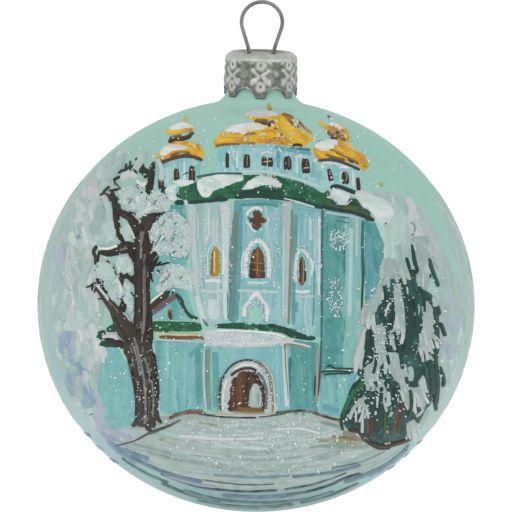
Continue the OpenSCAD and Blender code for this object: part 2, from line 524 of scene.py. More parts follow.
# %% Group: bristle streaks
streaks, enter, leave = new_group(
    "Bristle streaks",
    [("Colour", "Color", (0.5, 0.5, 0.5, 1)), ("Per mm", "Float", 4.0), ("Contrast", "Float", 0.2)],
    [("Colour", "Color"), ("Height", "Float"), ("Mask", "Float")],
)
brush_at = node(streaks, "ShaderNodeAttribute", attribute_name="brush")
split = node(streaks, "ShaderNodeSeparateXYZ", {0: brush_at.outputs["Vector"]})
fine = math_node(streaks, "MULTIPLY", split.outputs[1], enter.outputs["Per mm"])
slow = math_node(streaks, "MULTIPLY", split.outputs[0], 0.35)
where = node(streaks, "ShaderNodeCombineXYZ", {0: slow, 1: fine, 2: split.outputs[2]})
hair = node(streaks, "ShaderNodeTexNoise", {"Vector": where.outputs[0], "Scale": 1.0, "Detail": 3.0,
                                            "Roughness": 0.6})
around = math_node(streaks, "SUBTRACT", hair.outputs[0], 0.5)
gain = math_node(streaks, "MULTIPLY_ADD", around, enter.outputs["Contrast"], 1.0)
toned = node(streaks, "ShaderNodeVectorMath", {0: enter.outputs["Colour"]}, operation="SCALE")
streaks.links.new(gain, toned.inputs["Scale"])
streaks.links.new(toned.outputs[0], leave.inputs["Colour"])
streaks.links.new(hair.outputs[0], leave.inputs["Height"])
streaks.links.new(math_node(streaks, "GREATER_THAN", hair.outputs[0], 0.55), leave.inputs["Mask"])

# %% Group: mottle
mottle, enter, leave = new_group(
    "Mottle",
    [("Colour", "Color", (0.5, 0.5, 0.5, 1)), ("Second", "Color", (0.4, 0.4, 0.4, 1)),
     ("Size mm", "Float", 3.0), ("Amount", "Float", 0.3)],
    [("Colour", "Color"), ("Height", "Float"), ("Mask", "Float")],
)
place = node(mottle, "ShaderNodeTexCoord")
per_metre = math_node(mottle, "DIVIDE", 1 / MM, enter.outputs["Size mm"])
cloud = node(mottle, "ShaderNodeTexNoise", {"Vector": place.outputs["Object"], "Scale": per_metre,
                                            "Detail": 5.0, "Roughness": 0.55})
mask = node(mottle, "ShaderNodeMapRange", {0: cloud.outputs[0], 1: 0.35, 2: 0.65})
share = math_node(mottle, "MULTIPLY", mask.outputs[0], enter.outputs["Amount"])
blended = node(mottle, "ShaderNodeMix", {0: share, 6: enter.outputs["Colour"],
                                         7: enter.outputs["Second"]},
               data_type="RGBA")
mottle.links.new(blended.outputs[2], leave.inputs["Colour"])
mottle.links.new(cloud.outputs[0], leave.inputs["Height"])
mottle.links.new(mask.outputs[0], leave.inputs["Mask"])
print("groups:", [g.name for g in bpy.data.node_groups])


# %% [markdown]
# ## Oil paint
#
# All the picture's paints are oil colour that has dried satin, so one recipe serves them: the
# pigment of each point, streaked along the bristles, slightly clouded, with the streaks also
# raised. What differs from paint to paint is how coarse the brush was, how shiny the paint
# dried and how much the second tone shows.

# %% Recipe for oil paint
def group_node(tree, group, links):
    made = node(tree, "ShaderNodeGroup", node_tree=group)
    for key, value in links.items():
        if isinstance(value, bpy.types.NodeSocket):
            tree.links.new(value, made.inputs[key])
        else:
            made.inputs[key].default_value = value
    return made


def oil_paint(name, hairs=4.0, contrast=0.35, second="snow", cloud=0.15, cloud_mm=2.5, relief=0.06,
              rough=0.5, coat=0.06):
    material, tree, shader = new_material(name)
    pigment = node(tree, "ShaderNodeAttribute", attribute_name="pigment")
    clouded = group_node(tree, mottle, {"Colour": pigment.outputs["Color"],
                                        "Second": (*PIGMENT[second], 1), "Size mm": cloud_mm,
                                        "Amount": cloud})
    streaked = group_node(tree, streaks, {"Colour": clouded.outputs["Colour"], "Per mm": hairs,
                                          "Contrast": contrast})
    tree.links.new(streaked.outputs["Colour"], shader.inputs["Base Color"])
    dull = node(tree, "ShaderNodeMapRange", {0: streaked.outputs["Height"], 1: 0.3, 2: 0.7,
                                             3: rough - 0.1, 4: rough + 0.12})
    tree.links.new(dull.outputs[0], shader.inputs["Roughness"])
    bump = node(tree, "ShaderNodeBump", {"Height": streaked.outputs["Height"], "Distance": relief * MM,
                                         "Strength": 0.8})
    tree.links.new(bump.outputs[0], shader.inputs["Normal"])
    shader.inputs["Specular IOR Level"].default_value = 0.22
    shader.inputs["Coat Weight"].default_value = coat
    shader.inputs["Coat Roughness"].default_value = 0.3
    return material


wash = oil_paint("wash_paint", hairs=2.2, contrast=0.3, second="mint_pale", cloud=0.2, relief=0.04)
wall_paint = oil_paint("wall_paint", hairs=3.2, contrast=0.4, second="wall_pale", cloud=0.12)
snow_paint = oil_paint("snow_paint", hairs=3.5, contrast=0.16, second="mint_pale", cloud=0.2,
                       relief=0.1, rough=0.45, coat=0.08)
leaf_paint = oil_paint("leaf_paint", hairs=4.0, contrast=0.6, second="green_dark", cloud=0.35,
                       cloud_mm=1.5)
gold_paint = oil_paint("gold_paint", hairs=3.5, contrast=0.55, second="gold", cloud=0.3, cloud_mm=1.6,
                       rough=0.4, coat=0.15)
line_paint = oil_paint("line_paint", hairs=5.0, contrast=0.5, second="bark", cloud=0.15)
bark_paint = oil_paint("bark_paint", hairs=3.2, contrast=0.9, second="bark", cloud=0.3, cloud_mm=1.6,
                       relief=0.1)
print("paints:", [m.name for m in bpy.data.materials])

# %% [markdown]
# ## The lacquered globe
#
# The blown globe is one shell: a flattened ball that flows into a straight neck with a
# fire-polished lip. Its outline is short to write down, so it is drawn once and turned round
# the axis. The outside carries a pearly mint lacquer. The inside is silvered, which only shows
# down the neck when the cap is off.

# %% Turn the globe's outline
WALL = 0.8
GLOBE_AROUND, OUTLINE_STEPS, KEEP_EVERY = 300, 240, 3
neck_top = globe_high.z / MM - MIDDLE[2]


def globe_side(depth):
    """Radius and height along the glass from the bottom to the neck, set in by depth. The ball
    is traced finely, to find where the neck's arc begins, and thinned out afterwards."""
    t = np.radians(np.linspace(-90, 90, OUTLINE_STEPS * KEEP_EVERY + 1))
    skin = np.stack([half_width * np.cos(t), half_height * np.sin(t)], 1)
    out = unit(skin / np.array([half_width, half_height]) ** 2)
    last = np.argmax((skin[:, 0] + FLOW * out[:, 0] < NECK_R + FLOW) & (t > 0))
    start = math.atan2(-out[last, 1], -out[last, 0]) + 2 * math.pi
    a = np.linspace(start, math.pi, 12)[1:, None]
    bend = skin[last] + FLOW * out[last] + (FLOW + depth) * np.hstack([np.cos(a), np.sin(a)])
    return np.vstack([(skin - depth * out)[: last + 1 : KEEP_EVERY], bend])


def revolve(outline, around):
    """A closed surface of revolution in millimetres from an outline that starts and ends on
    the axis. Gives the points and the faces, row by row."""
    a = np.arange(around) * 2 * np.pi / around
    rings = outline[1:-1]
    points = [(r * math.cos(k), r * math.sin(k), z) for r, z in rings for k in a]
    points += [(0, 0, outline[0][1]), (0, 0, outline[-1][1])]
    n, ends = len(rings), (len(points) - 2, len(points) - 1)
    faces = [(ends[0], (j + 1) % around, j) for j in range(around)]
    for i in range(n - 1):
        for j in range(around):
            k = (j + 1) % around
            faces.append((i * around + j, i * around + k, (i + 1) * around + k, (i + 1) * around + j))
    faces += [(ends[1], (n - 1) * around + j,
               (n - 1) * around + (j + 1) % around) for j in range(around)]
    return np.array(points), faces


def make_piece(name, points_mm, faces, materials, body, stands_for=()):
    """An object from points in millimetres of the frame, riding on a body."""
    mesh = bpy.data.meshes.new(name)
    mesh.from_pydata((np.asarray(points_mm) * MM).tolist(), [], faces)
    mesh.polygons.foreach_set("use_smooth", [True] * len(mesh.polygons))
    for m in materials:
        mesh.materials.append(m)
    piece = bpy.data.objects.new(name, mesh)
    scene.collection.objects.link(piece)
    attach(piece, body)
    if stands_for:
        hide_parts(*stands_for)
    print(name, len(faces), "faces")
    return piece


outer, inner = globe_side(0), globe_side(WALL)
lip_a = np.radians(np.arange(0, 181, 30))[:, None]
lip = [NECK_R - WALL / 2, neck_top - WALL / 2] + WALL / 2 * np.hstack([np.cos(lip_a), np.sin(lip_a)])
globe_outline = np.vstack([outer, lip, inner[::-1]])
globe_points, globe_faces = revolve(globe_outline, GLOBE_AROUND)
globe_points[:, 2] += MIDDLE[2]
inside_from = GLOBE_AROUND * (len(outer) + len(lip) - 1)

# %% [markdown]
# Pearl lacquer is clear varnish full of tiny flakes over a milky colour. From a hand's width
# it reads as an even mint with a soft shine, and close up as a faint sparkle. A cell texture
# a fifth of a millimetre across gives each flake its own tone, and two sizes of mottle keep
# the colour from being dead flat.

# %% Lacquer and silvering
lacquer, tree, shader = new_material("pearl_lacquer")
breath = node(tree, "ShaderNodeAttribute", attribute_name="pigment")
broad = group_node(tree, mottle, {"Colour": breath.outputs["Color"],
                                  "Second": (*PIGMENT["mint_grey"], 1),
                                  "Size mm": 22.0, "Amount": 0.15})
close = group_node(tree, mottle, {"Colour": broad.outputs["Colour"],
                                  "Second": (*PIGMENT["mint_pale"], 1), "Size mm": 5.0, "Amount": 0.1})
at = node(tree, "ShaderNodeTexCoord")
flakes = node(tree, "ShaderNodeTexVoronoi", {"Vector": at.outputs["Object"], "Scale": 4500.0})
grey = node(tree, "ShaderNodeSeparateColor", {0: flakes.outputs["Color"]})
tone = node(tree, "ShaderNodeMapRange", {0: grey.outputs[0], 3: 0.95, 4: 1.05})
pearl = node(tree, "ShaderNodeVectorMath", {0: close.outputs["Colour"]}, operation="SCALE")
tree.links.new(tone.outputs[0], pearl.inputs["Scale"])
tree.links.new(pearl.outputs[0], shader.inputs["Base Color"])
sheen = node(tree, "ShaderNodeMapRange", {0: grey.outputs[0], 3: 0.46, 4: 0.58})
tree.links.new(sheen.outputs[0], shader.inputs["Roughness"])
skin = node(tree, "ShaderNodeBump", {"Height": close.outputs["Height"], "Distance": 0.02 * MM,
                                     "Strength": 0.5})
tree.links.new(skin.outputs[0], shader.inputs["Normal"])
shader.inputs["Specular IOR Level"].default_value = 0.22
shader.inputs["Coat Weight"].default_value = 0.04
shader.inputs["Coat Roughness"].default_value = 0.32

silvering, tree, shader = new_material("silvering")
tarnish = group_node(tree, mottle, {"Colour": (0.75, 0.76, 0.76, 1), "Second": (0.5, 0.47, 0.42, 1),
                                    "Size mm": 4.0, "Amount": 0.5})
tree.links.new(tarnish.outputs["Colour"], shader.inputs["Base Color"])
shader.inputs["Metallic"].default_value = 0.9
dim = node(tree, "ShaderNodeMapRange", {0: tarnish.outputs["Height"], 3: 0.15, 4: 0.4})
tree.links.new(dim.outputs[0], shader.inputs["Roughness"])

globe = make_piece("globe_shell", globe_points, globe_faces, [lacquer, silvering], "globe",
                   ["glass_globe"])
for face in globe.data.polygons:
    face.material_index = int(min(face.vertices) >= inside_from)

# %% [markdown]
# Before the picture is painted, soft breaths of colour are sprayed over the mint: pale behind
# the domes, a greyer mint at both sides, blue and lilac low down, teal and blue underneath, and
# frost round the back. The greyer mint at both sides is painted shade, darkening the lacquer
# towards the edge of the ball as seen from the front. The breaths are ovals on an easel's sheet
# whose strength fades smoothly, mixed into the lacquer point by point.

# %% Spray soft colour on the lacquer
BREATHS = {
    # the mint_grey ovals towards both edges are painted shade along the ball's rim
    front: [(0, 44, 20, 9, "mint_pale", 0.3), (-34, 26, 10, 13, "mint_grey", 0.6),
            (-41, 4, 9, 26, "mint_grey", 0.7), (33, 18, 7, 8, "mint_grey", 0.5),
            (43, -6, 7, 20, "mint_grey", 0.7), (-43, -12, 7, 11, "haze", 0.6),
            (44, -14, 6, 13, "lilac_pale", 0.4), (31, 14, 4, 9, "mint_pale", 0.6),
            (-38, -27, 9, 8, "lilac_pale", 0.6), (0, -46, 34, 8, "arc_teal", 0.75),
            (0, -44, 24, 4, "arc_blue", 0.4), (31, -37, 11, 8, "haze", 0.7),
            (-29, -37, 11, 8, "haze", 0.7),
            (0, -34, 34, 9, "path_grey", 0.7), (40, -27, 7, 8, "mint_grey", 0.6)],
    back: [(0, 40, 30, 12, "mint_pale", 0.3), (-42, 4, 12, 24, "frost", 0.7),
           (42, 4, 12, 24, "frost", 0.7), (0, -47, 34, 6, "arc_teal", 0.55),
           (34, -34, 14, 9, "haze", 0.6), (-34, -34, 14, 9, "haze", 0.6),
           (0, -4, 40, 14, "frost", 0.6)],
}
from_middle = globe_points - MIDDLE
tint = np.tile(PIGMENT["mint"], (len(globe_points), 1))
for easel, breaths in BREATHS.items():
    facing = np.clip(from_middle @ easel.towards / 12 + 0.5, 0, 1)
    away = (easel.eye @ easel.towards) / ((easel.eye - from_middle) @ easel.towards)
    seen = easel.eye + (from_middle - easel.eye) * away[:, None]
    for x, z, rx, rz, shade, strength in breaths:
        off = ((seen @ easel.right - x) / rx) ** 2 + ((seen @ easel.up - z) / rz) ** 2
        share = facing * strength * np.exp(-off)
        tint += (PIGMENT[shade] - tint) * share[:, None]
sprayed = globe.data.attributes.new("pigment", "FLOAT_COLOR", "POINT")
sprayed.data.foreach_set("color", np.hstack([tint, np.ones((len(tint), 1))]).astype(np.float32).ravel())
print("breaths of colour:", sum(len(b) for b in BREATHS.values()))

# %% [markdown]
# ## Frost in the distance
#
# Behind the bare tree and beyond the fir stand trees so deep in frost that only soft patches
# of white, lilac and grey show. The painter pats these in first with a wide, nearly dry brush,
# mostly up and down. They are strokes picked at random inside a loose outline, and a few
# given one by one where the frost is thickest or a shadow turns blue.

# %% Frosted trees at both sides
frost = Paint(front, 11)
LEFT_FROST = [(-33, 37), (-38.5, 32), (-42, 26), (-44, 20), (-45.5, 12), (-46.5, 4), (-46.5, -6),
              (-45, -14), (-42.5, -22), (-39, -27), (-35, -31), (-31, -29.5), (-34.5, -25),
              (-36.5, -20), (-36, -15), (-34.5, -12.5), (-36, -9.5), (-37.5, -7), (-35, -4),
              (-34.5, 1), (-35.5, 5), (-37, 9), (-36.5, 13), (-33, 14), (-31.5, 18), (-32.5, 26),
              (-31, 30), (-29, 34)]
frost.fill(LEFT_FROST, ["mint_grey", "frost", "mint_pale", "frost_pale"], 0.02, 0.03, grain=1.5,
           way=-82, lumps=0.04, soft=2.5, patch=(0.08, 0.22))
frost.hatch(LEFT_FROST, 130, 8.5, 2.4, -84, ["mint_pale", "frost", "mint_grey", "frost"], lift=0.05,
            thick=0.02, spread=7)
frost.hatch(LEFT_FROST, 150, 5.5, 1.5, -82, ["frost_pale", "frost", "snow_grey", "frost_pale"],
            lift=0.07, thick=0.03, spread=9)
frost.hatch([(-46.5, 14), (-44, 14), (-41.5, 10), (-42, 4), (-46, 4)], 22, 6, 1.6, -84,
            ["lilac_pale", "frost"], 0.08, 0.03, spread=5)
frost.hatch([(-45, -6), (-41, -5.5), (-39.5, -7), (-40.5, -12), (-44, -12.5)], 30, 5, 1.8, -80,
            ["lilac", "haze", "lilac_pale"], 0.1, 0.03, spread=6)
for path, width, shade in [
    ([(-38.8, 12.5), (-38.3, 9.5), (-37.4, 6)], 2.4, "snow_pink"),
    ([(-37.6, 0), (-37.8, -5.4)], 4.0, "snow_grey"),
    ([(-39.4, -0.5), (-39.2, -5)], 2.0, "frost_pale"), ([(-36.2, 28), (-36.4, 20)], 3.0, "frost_pale"),
    ([(-34.4, 25), (-34.6, 21.4)], 1.8, "lilac_pale"),
    ([(-39.5, 21), (-38.2, 16.5)], 3.2, "frost_pale"),
    ([(-43, 15), (-41.3, 15.4), (-39.6, 15.8)], 1.2, "haze"),
    ([(-40.4, 16), (-38.8, 15)], 1.3, "slate"),
    ([(-39.6, 15.8), (-38.7, 15)], 0.8, "ink"),
    ([(-40.7, -13.4), (-39.9, -14.4), (-39.1, -15.9)], 1.3, "blue_dab"),
    ([(-40.1, -12.2), (-39.5, -13.6)], 0.7, "slate"), ([(-38, -9.9), (-37.4, -11.9)], 0.6, "slate"),
    ([(-41, -9.5), (-40.7, -11)], 0.6, "haze"), ([(-41, 0.6), (-40.2, 0), (-39.4, -0.3)], 0.4, "olive"),
    ([(-40.1, 22.6), (-40.6, 21.3)], 0.6, "slate"), ([(-35.5, 24.8), (-35.3, 23.5)], 0.5, "slate"),
    ([(-38.1, 24), (-38.3, 23.2)], 0.4, "slate"), ([(-38.6, -25.4), (-37.2, -24.9)], 0.4, "slate"),
    ([(-36, -9), (-34.8, -12), (-35.4, -13.8)], 2.0, "snow"),
    ([(-38.8, -11), (-38.6, -16)], 3.0, "frost_pale"),
    ([(-35.8, -20), (-35.2, -23), (-34.2, -25.5)], 2.2, "lilac_pale"),
    ([(-41, -19), (-39.4, -20.6)], 0.6, "sand_green"),
    ([(-36.8, -24), (-35.5, -27.5), (-33, -30)], 2.6, "lilac_pale"),
    ([(-31.8, -28.8), (-28.6, -29.6)], 2.2, "lilac_pale"),
]:
    frost.stroke(path, width, shade, 0.1, 0.05, tips=(0.6, 0.4))

RIGHT_FROST = [(22.8, 25.6), (27, 26.2), (31, 26.2), (33.4, 26.6), (35, 24.8), (37, 21.8), (40, 17.4),
               (42, 14.4), (45, 10.6), (47.2, 4), (48.2, -4), (47.6, -12), (45.4, -19), (42, -25.6),
               (38, -30), (35.4, -31.6), (38, -26), (40.6, -20), (42, -12), (42.4, -2), (41.2, 4),
               (39, 8), (36, 8), (32, 6), (29.4, 6), (29.8, 12), (29.4, 15.6), (28.8, 18.4), (26, 21),
               (24, 23)]
frost.fill(RIGHT_FROST, ["mint_pale", "frost", "mint_pale", "frost_pale"], 0.02, 0.03, grain=1.5,
           way=-80, lumps=0.04, soft=2.5, patch=(0.06, 0.2))
frost.hatch([(42.5, 12), (45, 9), (47.4, 0), (47, -10), (44, -20), (40.5, -27), (42.4, -14), (43, -2)],
            90, 9, 1.8, -87, ["frost", "mint_grey", "frost", "mint_pale"], 0.05, 0.02, spread=4)
frost.hatch([(43, 2), (45.6, 2), (46.6, -8), (43.6, -20), (42.6, -10)], 26, 6, 1.4, -87,
            ["lilac_pale", "frost"], 0.07, 0.02, spread=4)
frost.hatch([(29.6, 25.6), (34.6, 25), (36, 20), (36, 12), (33, 8), (30, 9), (30.4, 16)], 60, 6, 1.6,
            -84, ["mint_pale", "frost_pale", "mint_pale", "frost"], 0.08, 0.03, spread=7)
frost.hatch([(35, 25), (37, 22), (40, 17.5), (42, 14.5), (42.6, 9), (40.6, 9), (38, 12), (35.6, 15),
             (34.6, 20)], 60, 6, 1.5, -62,
            ["snow_grey", "snow_pink", "frost_pale", "frost_pale"], 0.1, 0.04, spread=8)
frost.hatch([(23, 25.4), (29, 25.6), (32, 23), (31.4, 19.6), (28, 18.8), (25, 22)], 34, 6, 1.5, -38,
            ["snow_grey", "frost_pale", "snow_pink"], 0.12, 0.05, spread=7)
# the whitest masses on the left, and the haze under them
frost.hatch([(-42, 25), (-37, 30), (-35.4, 20), (-36.6, 4), (-36, -6), (-36.6, -17), (-40.6, -17),
             (-43.4, 0), (-43.4, 14)],
            80, 4.8, 1.7, -80, ["snow", "frost_pale", "frost", "snow_pink", "frost_pale"], 0.13, 0.05,
            spread=12)
frost.hatch([(-45.4, -9), (-40, -12), (-36, -19), (-38, -25), (-42.6, -20)], 34, 4.6, 1.5, -72,
            ["lilac_pale", "haze", "mint_grey"], 0.12, 0.04, spread=8)
for path, width, shade in [
    ([(22.8, 25.6), (26, 24.4), (29.5, 21.6), (31.4, 19.6)], 2.6, "snow"),
    ([(24.5, 24), (27, 22), (28.6, 19.8)], 2.4, "snow_pink"),
    ([(34.8, 24.6), (36, 22), (35.6, 19.6)], 1.8, "snow_pink"),
    ([(37.4, 20.4), (39.2, 17), (41.4, 12.4), (42.6, 8)], 2.0, "snow_grey"),
    ([(33.6, 21), (33, 16.5), (31.6, 13.4)], 2.8, "mint_pale"),
    ([(36.2, 17.4), (38.6, 13.6), (40, 9.6)], 2.4, "snow"),
    ([(29.3, 18.9), (30, 18.6)], 0.6, "ink"),
    ([(35.2, 19), (36.3, 18.1), (36.2, 16.2), (35.2, 16)], 0.45, "slate"),
    ([(37.8, 15.9), (38.8, 15), (39, 14)], 0.5, "slate"), ([(24, 25.2), (27.6, 23.4)], 0.35, "frost"),
]:
    frost.stroke(path, width, shade, 0.14, 0.07, tips=(0.6, 0.3))
frost.finish("frosted_trees", snow_paint, 0.8)

# %% [markdown]
# ## The church walls
#
# The walls are laid in next with a flat brush, straight down, one bay at a time, so each bay
# keeps its own blue or teal. Fills give every bay its edges, and the loose downward strokes
# over them let the colours of one bay show through the next, as on the real thing.

# %% Walls, bay by bay
walls = Paint(front, 23)
BAYS = [
    # name, outline, pigments
    ("behind the tree", [(-22, 23.4), (-16, 23.2), (-15.6, 3), (-13.5, -3.8), (-24, -3.8), (-24.4, 4)],
     ["teal", "wall_mid", "teal_pale"]),
    ("left bay", [(-16, 23.6), (-8, 24.4), (-5.6, 24.4), (-5.6, -4.6), (-12.5, -4.4), (-14.6, 3)],
     ["wall_pale", "wall", "mint_pale", "wall_pale"]),
    ("shadow strip", [(-6.2, 14), (-5, 24.2), (-2.6, 24.2), (-3.2, 10), (-4, -4.4), (-6.3, -4.4),
                      (-6.6, 4)],
     ["teal_deep", "teal_blue", "teal"]),
    ("middle bay", [(-3.4, 24.4), (6.2, 24.4), (6.6, -5.4), (-3.9, -4.4)],
     ["wall", "wall_pale", "wall", "wall_mid"]),
    ("right bay", [(5.8, 24.3), (15.2, 22.2), (15, -7.8), (13, -7.4), (8, -5.4), (6, -5)],
     ["wall", "wall_mid", "wall_pale"]),
    ("teal bay", [(15, 22.4), (20.6, 21.4), (20.6, -24), (14.6, -24), (14.8, 0)],
     ["teal", "teal_deep", "teal"]),
    ("pale bay", [(20.2, 21.4), (24.6, 20.4), (24.2, 4), (25.4, -6), (22, -18), (19, -24.6),
                  (19.6, -8)],
     ["teal_pale", "mint", "wall_pale"]),
    ("corner bay", [(24.8, 19.8), (27.6, 19), (29.6, 14), (29.4, 8), (28, 4), (26.2, 0.4), (24.9, -1)],
     ["teal_deep", "teal_blue", "teal"]),
    ("lower left", [(-23.6, -8), (-11.6, -8.4), (-11.2, -24.8), (-22, -25.4), (-22.8, -16)],
     ["wall_mid", "teal_pale", "wall_mid", "teal"]),
    ("lower middle", [(-11.4, -8.4), (8.2, -8.4), (8, -25), (-11.4, -25)],
     ["teal_pale", "wall", "wall_mid"]),
    ("lower right", [(7.6, -7.8), (14.6, -8.6), (14.4, -25), (7.6, -25)],
     ["teal", "teal_deep", "teal_blue"]),
    ("lower far right", [(14.6, -15), (24, -14), (23.2, -17), (20.5, -22), (19.6, -26), (14.4, -25.4)],
     ["teal_pale", "wall_mid", "teal_blue"]),
]
for _, outline, shades in BAYS:
    walls.fill(outline, shades, lift=0.03, thick=0.04, sharp=True, grain=1.0, patch=(0.05, 0.9))
print("bays:", ", ".join(bay for bay, _, _ in BAYS))
for outline, count, shades in [
    ([(-15.6, 23.2), (-8.4, 23.6), (-8.6, -3.8), (-12.6, -3.8), (-14.6, 4)], 44,
     ["wall_white", "wall_pale", "wall", "mint_grey"]),
    ([(-21, 22), (-16, 22), (-15.8, 10), (-22, 12)], 18, ["teal_pale", "teal", "wall_pale"]),
    ([(-3, 21.6), (5.4, 21.6), (5.8, -4.6), (-3.6, -4)], 52,
     ["wall", "wall_pale", "wall", "teal_pale"]),
    ([(8.8, 21.6), (14.6, 20.6), (14.6, -6), (8.6, -5)], 40, ["wall", "wall", "wall_pale", "wall_mid"]),
    ([(15.6, 21), (20.2, 20.6), (19.6, -13), (15.2, -13)], 34, ["teal", "teal_deep", "teal"]),
    ([(20.6, 20), (24, 19.6), (24, -4), (22, -12), (20, -12)], 26, ["teal_pale", "mint", "teal_pale"]),
    ([(25.2, 18.6), (27.4, 18), (29, 13), (28.4, 6), (26, 2)], 16, ["teal_deep", "teal", "teal_blue"]),
    ([(-21.4, -9), (-12, -9), (-12, -23.6), (-20.6, -23.8)], 30, ["wall_mid", "teal_pale", "wall"]),
    ([(4.4, -10), (6.2, -10), (6.2, -24), (4.8, -24)], 10, ["wall", "teal_pale"]),
    ([(7.8, -9.6), (13.6, -9), (13.4, -24.4), (7.8, -24.4)], 30, ["teal", "teal_deep", "teal"]),
    ([(15, -16.4), (22, -16.4), (19.6, -25), (15, -24.6)], 24, ["teal_pale", "wall_mid", "teal_pale"]),
]:
    walls.hatch(outline, count, 9, 0.8, -89, shades, lift=0.06, thick=0.03, spread=1.5)
for path, width, shade in [
    # the frieze under the eaves
    ([(-4.4, 23.4), (1, 23.7), (6.4, 23.2)], 0.9, "teal"),
    ([(-3.6, 22.8), (2, 23), (5.4, 22.5)], 0.6, "teal_deep"),
    ([(-3, 24.2), (2, 24.5), (7, 24.2)], 0.45, "wall_white"),
    ([(8.6, 22.6), (12, 22), (15, 21.3)], 0.7, "teal_pale"),
    ([(9, 23.8), (12, 23), (14.8, 22.2)], 0.4, "wall_white"),
    ([(15.8, 21.3), (20, 20.6), (24, 19.8)], 0.7, "wall_pale"),
    ([(-20, 22.4), (-16.4, 22.4)], 1.0, "teal_deep"),
    # shadows along the edges of bays
    ([(-3.6, 22), (-3.8, 12), (-4.6, -3.6)], 1.0, "teal_blue"),
    ([(-6, 13), (-6.1, 4), (-5.9, -4)], 0.8, "teal_deep"),
    ([(9.2, 21), (9, 12), (8.6, 2), (8.6, -4.8)], 0.9, "teal_blue"),
    ([(13.4, 8), (13.3, 1), (13, -5)], 0.3, "teal_deep"),
    ([(16.4, 19), (16.2, 14)], 0.5, "teal_deep"), ([(18, 19.4), (21.6, 18.7)], 0.3, "teal_ink"),
    ([(19, 20.2), (21.8, 19.9)], 0.25, "teal_ink"),
    ([(-13.4, -10), (-13.2, -16), (-13, -23)], 1.6, "teal"),
    ([(-9.4, -10.4), (-9.2, -17), (-9.2, -24)], 1.5, "teal"),
    ([(5.4, 23), (5.4, 14), (5.2, 4)], 0.6, "wall_mid"),
    ([(14.8, -23.2), (19.4, -24.6)], 1.6, "teal_blue"), ([(8, -24), (14, -24.2)], 1.2, "teal_blue"),
    ([(9.2, -2), (9.2, 0.8)], 0.9, "teal_blue"),
    ([(16, -8.5), (18, -9.5), (18.6, -12)], 1.6, "teal_deep"),
    ([(16.6, -2.6), (17, -8), (17, -12.6)], 2.2, "teal_deep"),
    # the ledges between the storeys
    ([(-13, 3.2), (-9, 3.1), (-6.4, 3.3)], 0.9, "wall_white"),
    ([(-4.6, 3.3), (0, 3.1), (5.4, 2.9)], 0.6, "wall_white"),
    ([(-4, 4), (5, 3.8)], 0.4, "wall_mid"), ([(8.7, 2.2), (11, 1.9), (14, 2)], 0.7, "wall_white"),
]:
    walls.stroke(path, width, shade, 0.1, 0.05, tips=(0.7, 0.5))
walls.finish("church_walls", wall_paint, 0.78)

# %% [markdown]
# ## Pilasters and drawn lines
#
# White pilasters stand between the bays. Beside them the painter pulls long thin lines of tan
# and dark teal with a liner brush, never quite straight, which give the walls their corners.

# %% Pilasters and lines
pilasters = Paint(front, 31)
for path, width, shade in [
    ([(-14.7, 23), (-14.5, 16), (-13.8, 8), (-13.4, 2)], [2.2, 1.6, 1.4, 1.2], "wall_white"),
    ([(-13.4, 21), (-13.2, 14)], 0.7, "snow_grey"),
    ([(-13.6, 2.4), (-12.8, -1), (-11.9, -4.4)], 1.4, "wall_white"),
    ([(-7.2, 23.5), (-7, 18), (-7, 10), (-7, 2), (-6.9, -3.6)], [2.6, 2, 1.7, 1.5, 1.4], "wall_white"),
    ([(-7.4, 23.4), (-7.2, 21)], 2.0, "snow"), ([(-8.9, 20), (-8.9, 14)], 0.7, "wall_white"),
    ([(-10.8, 22.6), (-10.8, 15.5)], 0.7, "wall_white"),
    ([(-9.8, 1.6), (-9.6, -3.6)], 3.0, "wall_white"),
    ([(7, 23.9), (7.1, 19), (7, 12), (6.9, 4), (6.7, -4.6)], [2.9, 1.9, 1.7, 1.5, 1.3], "snow_grey"),
    ([(6.7, 23.4), (6.8, 20)], 1.2, "snow_pink"), ([(6.4, 18), (6.4, 8), (6.3, -3)], 0.6, "wall_white"),
    ([(14.5, 20.4), (14.5, 12), (14.4, 2)], 0.7, "wall_white"),
    ([(21.8, 18), (21.7, 8), (21.4, -3)], 1.3, "wall_pale"),
    ([(23.2, 20), (23.1, 11)], 0.9, "wall_pale"), ([(12.4, 20), (12.5, 14.6)], 1.0, "wall_pale"),
    ([(-11, -9.6), (-11.2, -16), (-10.8, -24.4)], 1.2, "olive"),
    ([(-11.8, -10), (-11.9, -17), (-11.4, -24)], 0.4, "wall_white"),
    ([(6.5, -9.6), (6.8, -16), (7.1, -23.6)], 1.3, "wall_white"),
    ([(5.4, -10), (5.7, -16), (6, -23.6)], 0.5, "wall_mid"),
    ([(14.1, -9.4), (14, -16), (13.8, -22.6)], 0.75, "bark_pale"),
    ([(-12.2, -9), (-14, -10.6), (-15.4, -12)], 0.8, "teal"),
]:
    pilasters.stroke(path, width, shade, 0.14, 0.08, tips=(0.8, 0.6))
pilasters.finish("pilasters", wall_paint, 0.84)

